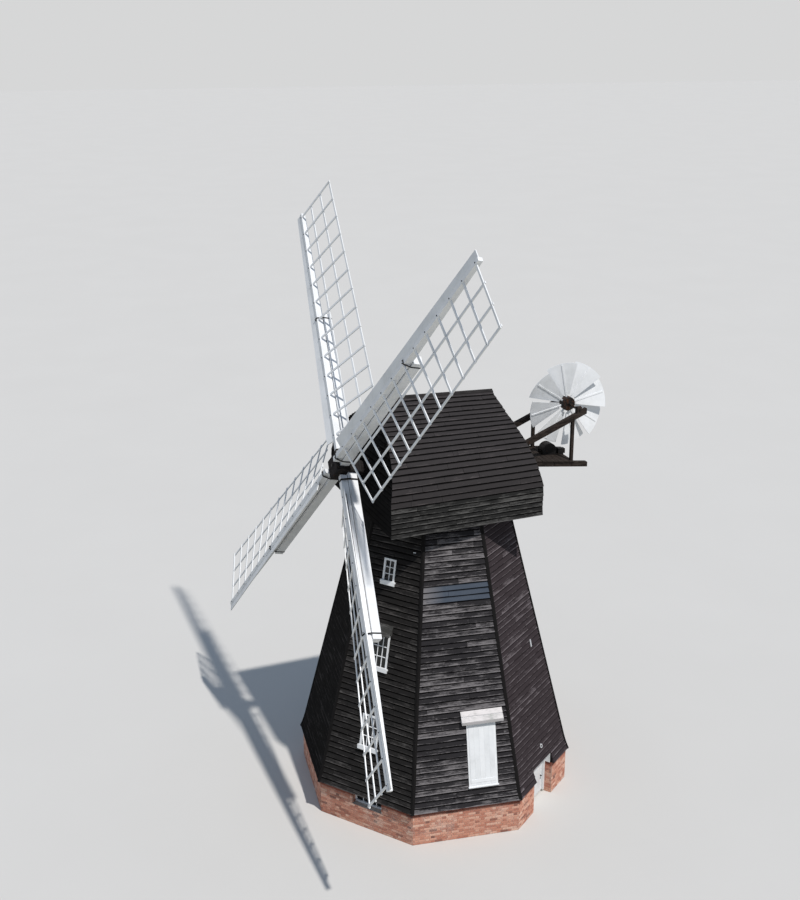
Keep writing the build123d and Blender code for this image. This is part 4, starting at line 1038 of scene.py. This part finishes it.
def beam_sizes(r):
    """At r: the whip's width, its front and its back, the stock's width and the stock's back."""
    whip_back = between(r, whip_back_heel, 0.095, stock_half)
    return (between(r, 0.150, 0.110), between(r, -0.050, -0.035), whip_back,
            between(r, 0.310, 0.255, end=stock_half), whip_back + between(r, stock_deep, 0.258, end=stock_half))


def twist_at(r):
    """The sail's slant at r, in radians: 21.9 degrees at the shaft, easing evenly to 7.6 at the tip."""
    return np.radians(-21.9 + 14.3 * r / sail_radius)


def strap(plane, r, width=0.055, thick=0.010):
    """Four flats round stock and whip at r, and two bolts through their ends."""
    whip_w, front, whip_back, stock_w, stock_back = beam_sizes(r)
    narrow, half = whip_w / 2 + thick / 2, stock_w / 2 + thick / 2
    near, far = front - thick / 2, stock_back + thick / 2
    ring = [(-narrow, near), (narrow, near), (half, whip_back), (half, far), (-half, far), (-half, whip_back)]
    ends = ring[1:] + ring[:1]
    parts = [sticks(on(plane, a[0], r, a[1]), on(plane, b[0], r, b[1]), width, thick,
                    (b[1] - a[1]) * plane[1] - (b[0] - a[0]) * plane[3], cut=0.002)
             for a, b in zip(ring, ends)]
    x = np.array([-narrow + 0.03, narrow - 0.03])
    parts.append(rods(on(plane, x, r, near - 0.002), on(plane, x, r, near - 0.030), 0.017, 6, [1, 1, 0.85]))
    parts.append(rods(on(plane, x, r, far + 0.002), on(plane, x, r, far + 0.035), 0.017, 6, [1, 1, 0.85]))
    return parts


bar_radii = 9.340 - 0.692 * np.arange(13)
for number in range(4):
    plane = sail_frame(number)
    front = beam_sizes(bar_radii)[1]
    irons = strap(plane, 0.50) + strap(plane, 5.25, 0.042)
    irons.append(rods(on(plane, 0 * bar_radii, bar_radii, front + 0.002),
                      on(plane, 0 * bar_radii, bar_radii, front - 0.016), 0.019, 8, [1, 1, 0.6]))
    assemble(f"sail_irons_{number + 1}", irons, iron, "sails")

# %% Open joints between stock and whip, as dark strips of painted shade
# Dark strips stand for the shade in the open joints: partly a real gap, its darkness painted shade.
joints = []
for number in range(4):
    plane = sail_frame(number)
    for side in (-1, 1):
        r = np.array([0.34, 5.40])
        whip_w, front, whip_back, stock_w, stock_back = beam_sizes(r)
        a, b = on(plane, side * whip_w / 2, r, whip_back)
        joints.append(sticks(a, b, 0.020, 0.008, plane[1], cut=0.002, stations=12))
        r = np.array([0.95, 9.47])
        whip_w = beam_sizes(r)[0]
        twist = twist_at(r)
        a, b = on(plane, -whip_w / 2, r, -whip_w / 2 * np.sin(twist) + side * 0.014)
        joints.append(sticks(a, b, 0.018, 0.008, plane[1], cut=0.002, stations=20))
assemble("sail_joint_shade", joints, oak, "sails")

# %% Bolts on the laths, and the poll end's bands
lath_bolts = []
for number in range(4):
    origin, trail, out, back = sail_frame(number)
    twist = twist_at(bar_radii)[:, None]
    chord = np.cos(twist) * trail + np.sin(twist) * shaft_dir
    away = np.cross(out, chord)
    for share in (1 / 3, 2 / 3, 1):
        spot = origin + bar_radii[:, None] * out + 1.806 * share * chord
        lath_bolts.append(rods(spot - 0.034 * away, spot - 0.026 * away, 0.012, 6, [0.7, 1]))
        lath_bolts.append(rods(spot + 0.012 * away, spot + 0.024 * away, 0.012, 6, [1, 0.7]))
assemble("lath_bolts", lath_bolts, rusty_iron, "sails")

poll_back = hub_reach - whip_back_heel - stock_deep - poll_rim
poll_front = hub_reach + pair_offset - whip_back_heel + poll_rim
poll_half = 0.280
poll_x = cos(first_turn) * face_up - sin(first_turn) * cap_side
poll_y = sin(first_turn) * face_up + cos(first_turn) * cap_side
bands = []
for s in (poll_back + 0.035, poll_front - 0.035, poll_back + 0.42):
    centre = shaft_start + s * shaft_dir
    reach = poll_half + 0.006
    for way, other in ((poll_x, poll_y), (poll_y, poll_x), (-poll_x, poll_y), (-poll_y, poll_x)):
        middle = centre + reach * way
        half = (reach + 0.004) * other
        bands.append(sticks(middle - half, middle + half, 0.055, 0.012, way, cut=0.002))
centre = shaft_start + poll_front * shaft_dir
bands.append(rods(centre, centre + 0.030 * shaft_dir, 0.060, 16, [1, 1, 0.8]))
assemble("poll_bands", bands, iron, "sails")

# %% [markdown]
# ## The fantail
# The fan turns the cap into the wind. Its vanes are pitched boards on short spokes; each
# spoke is bolted to the hub. The stage between the lower beams is laid with rough planks,
# and these replace its plain solid.

# %% Stage planks and fan irons
def stage_z(t):
    """Height of the lower beam's axis at t."""
    return 10.097 + 0.132 * (t + 3.800)


stage_half = 0.150 / 2 * sqrt(1 + 0.132**2)
edges = np.linspace(-4.330, -2.470, 11)
lefts, rights = edges[:-1] + 0.005, edges[1:] - 0.005
mid = (lefts + rights) / 2
lift = stage_z(mid) + stage_half + 0.018
over = chance.uniform(-0.03, 0.0, (2, len(mid)))
stage_up = unit(np.array([0, 0, 1.0]) - 0.132 * cap_dir)
planks = sticks(cap_point(mid, -0.803 - over[0], lift), cap_point(mid, 0.803 + over[1], lift),
                (rights - lefts), 0.036, stage_up, cut=0.004, stations=5)
stage = assemble("stage_planks", [planks], oak, "cap")
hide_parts("fan_stage")

fan_t, fan_z, beam_n, beam_half = -4.438, 11.752, 0.688, 0.075
fan_centre = cap_point(fan_t, 0.0, fan_z)
turns = np.radians(34 + 45 * np.arange(8))[:, None]
spoke = np.cos(turns) * cap_dir + np.sin(turns) * np.array([0, 0, 1.0])
fan_irons = []
for side in (-1, 1):
    out = side * cap_side
    face = fan_centre + 0.095 * out
    fan_irons.append(rods(face - 0.002 * out, face + 0.016 * out, 0.213, 32, [1, 1, 0.94]))
    fan_irons.append(rods(face + 0.014 * out, face + 0.060 * out, 0.055, 16, [1, 0.9, 0.8]))
    spots = face + 0.160 * spoke + 0.014 * out
    fan_irons.append(rods(spots, spots + 0.016 * out, 0.014, 6, [1, 1, 0.8]))
assemble("fan_hub_irons", fan_irons, rusty_iron, "fan")

# %% Bearings and bolts on the fantail's frame
frame_irons = []
for side in (-1, 1):
    top = cap_point(fan_t, side * beam_n, fan_z) + [0, 0, beam_half]
    plate = [top + x * cap_dir + [0, 0, 0.004] for x in (-0.078, 0.078)]
    frame_irons.append(sticks(*plate, 0.12, 0.008, (0, 0, 1)))
    bolts = np.stack([top - 0.05 * cap_dir, top + 0.05 * cap_dir])
    frame_irons.append(rods(bolts, bolts + [0, 0, 0.03], 0.014, 6, [1, 1, 0.8]))
    for t in (-2.75, -3.655, -4.253):
        for z in (11.590 - 0.397 * (t - fan_t), stage_z(t)):
            spot = cap_point(t, side * (beam_n + beam_half), np.array([z - 0.03, z + 0.03]))
            frame_irons.append(rods(spot, spot + side * 0.020 * cap_side, 0.018, 6, [1, 1, 0.7]))
assemble("fan_frame_bolts", frame_irons, rusty_iron, "cap")

# %% [markdown]
# ## Small things on the walls
# A ring bolt and a slotted vent on the right of the front, both painted white, and the white
# hook under the curb.

# %% Ring bolt, vent and hook
plane = slope_frame(side_turn)
ring_v = (1.921 - foot_z) / cos(batter_angle)
turn = np.linspace(0, 2 * pi, 17)
ring = on(plane, 0.065 + 0.055 * np.cos(turn), ring_v + 0.055 * np.sin(turn), 0.050)
small = [sticks(ring[:-1], ring[1:], 0.016, 0.016, plane[3], cut=0.004),
         rods(on(plane, 0.065, ring_v + 0.055, 0.02), on(plane, 0.065, ring_v + 0.055, 0.066), 0.014, 8)]
vent = [(z - foot_z) / cos(batter_angle) for z in (4.871, 5.102)]
for u in (0.580, 0.622):
    small.append(sticks(on(plane, u, vent[0], 0.036), on(plane, u, vent[1], 0.036), 0.014, 0.020, plane[3]))
plane = slope_frame(-side_turn)
small.append(sticks(on(plane, 0.62, 7.60, 0.035), on(plane, 0.70, 7.61, 0.035), 0.025, 0.020, plane[3]))
assemble("wall_fittings", small, paint, "tower")

# %% [markdown]
# ## Finishes on the solids
# The solids that show get the same recipes, read in the frame's own metres.

# %% Finish each solid
finish_of = {
    "base_": mortar, "wall_": wall_tar, "ground_floor": flags_floor, "first_floor": planks_floor,
    "second_floor": planks_floor, "third_floor": planks_floor, "window_frames": paint_solid,
    "window_glass": pane, "upper_door": paint_solid, "ground_door": paint_solid, "curb": oak_solid,
    "cap_left_side": wall_tar, "cap_right_side": wall_tar, "cap_front": wall_tar, "cap_rear": wall_tar,
    "cap_ridge": lead, "cap_frame": oak_solid,
    "fan_frame": oak_solid, "fan_stage": oak_solid, "fan_drive": iron, "windshaft": poll_oak,
    "inner_stock": paint_solid, "outer_stock": paint_solid, "sail_": paint_solid, "fan_hub": rusty_iron,
    "fan_vanes": paint_solid,
}
for name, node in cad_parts.items():
    key = max((k for k in finish_of if name.startswith(k)), key=len)
    node.data.materials.clear()
    node.data.materials.append(finish_of[key])
print("solids finished:", len(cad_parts))

# %% [markdown]
# ## Light, floor and camera
# A pale floor, an even sky and one sun from the right, as on a clear day, so that a colour
# renders about as it is written. The floor has its pale grey where it is looked at, directly
# or in a reflection; the light that it throws back on the mill is somewhat darker and warmer.
# The camera looks down from a height, as from a drone: its place and turn were fitted to the
# mill's own corners.

# %% Floor and light
def looked_at(owner):
    """One for rays from the camera, from reflections and through glass, and nought for others."""
    ray = brew(owner, "ShaderNodeLightPath").outputs
    indirect = sums(owner, "MAXIMUM", ray["Is Glossy Ray"], ray["Is Transmission Ray"])
    return sums(owner, "MAXIMUM", ray["Is Camera Ray"], indirect)


floor_mesh = bpy.data.meshes.new("floor")
floor_mesh.from_pydata([(-400, -400, 0), (400, -400, 0), (400, 400, 0), (-400, 400, 0)], [], [(0, 1, 2, 3)])
floor = bpy.data.objects.new("floor", floor_mesh)
bpy.context.scene.collection.objects.link(floor)
ground, shader = fresh_finish("pale_floor", Roughness=0.9, Specular_IOR_Level=0.1)
cloud = mottle(ground, where(ground, False), 6.0, 3)
pale = shade(ground, cloud, (0.3, (0.628, 0.608, 0.580)), (0.7, (0.640, 0.620, 0.592)))
pour(ground, shader, Base_Color=layered(ground, looked_at(ground), (0.52, 0.50, 0.44), pale))
floor_mesh.materials.append(ground)

world = bpy.data.worlds.new("studio")
bpy.context.scene.world = world
world.use_nodes = True
sky = world.node_tree.nodes["Background"]
sky.inputs["Color"].default_value = (0.60, 0.76, 1.0, 1)
sky.inputs["Strength"].default_value = 0.40
seen = brew(world, "ShaderNodeBackground", Color=(0.675, 0.678, 0.68, 1), Strength=1.0)
either = brew(world, "ShaderNodeMixShader", _0=looked_at(world), _1=sky.outputs[0], _2=seen.outputs[0])
world.node_tree.links.new(either.outputs[0], world.node_tree.nodes["World Output"].inputs["Surface"])

sun_data = bpy.data.lights.new("sun", "SUN")
sun_data.energy, sun_data.angle, sun_data.color = 3.05, radians(1.5), (1.0, 0.975, 0.94)
sun = bpy.data.objects.new("sun", sun_data)
bpy.context.scene.collection.objects.link(sun)
sun.rotation_euler = Vector((0.228, -0.455, 0.861)).to_track_quat("Z", "Y").to_euler()

# %% Camera
bpy.context.scene.view_settings.view_transform = "Standard"
heading, dip, roll_turn = radians(13.39), radians(19.02), radians(-0.05)
look = np.array([sin(heading) * cos(dip), cos(heading) * cos(dip), -sin(dip)])
level = unit(np.cross(look, [0, 0, 1.0]))
over = np.cross(level, look)
level, over = cos(roll_turn) * level + sin(roll_turn) * over, cos(roll_turn) * over - sin(roll_turn) * level
turned = Matrix([[level[i], over[i], -look[i], p] for i, p in enumerate((-9.221, -34.273, 23.048))] + [[0, 0, 0, 1]])
camera_data = bpy.data.cameras.new("camera")
camera_data.lens, camera_data.sensor_width, camera_data.clip_end = 50.58, 36.0, 2000
camera = bpy.data.objects.new("camera", camera_data)
camera.matrix_world = turned
bpy.context.scene.collection.objects.link(camera)
bpy.context.scene.camera = camera
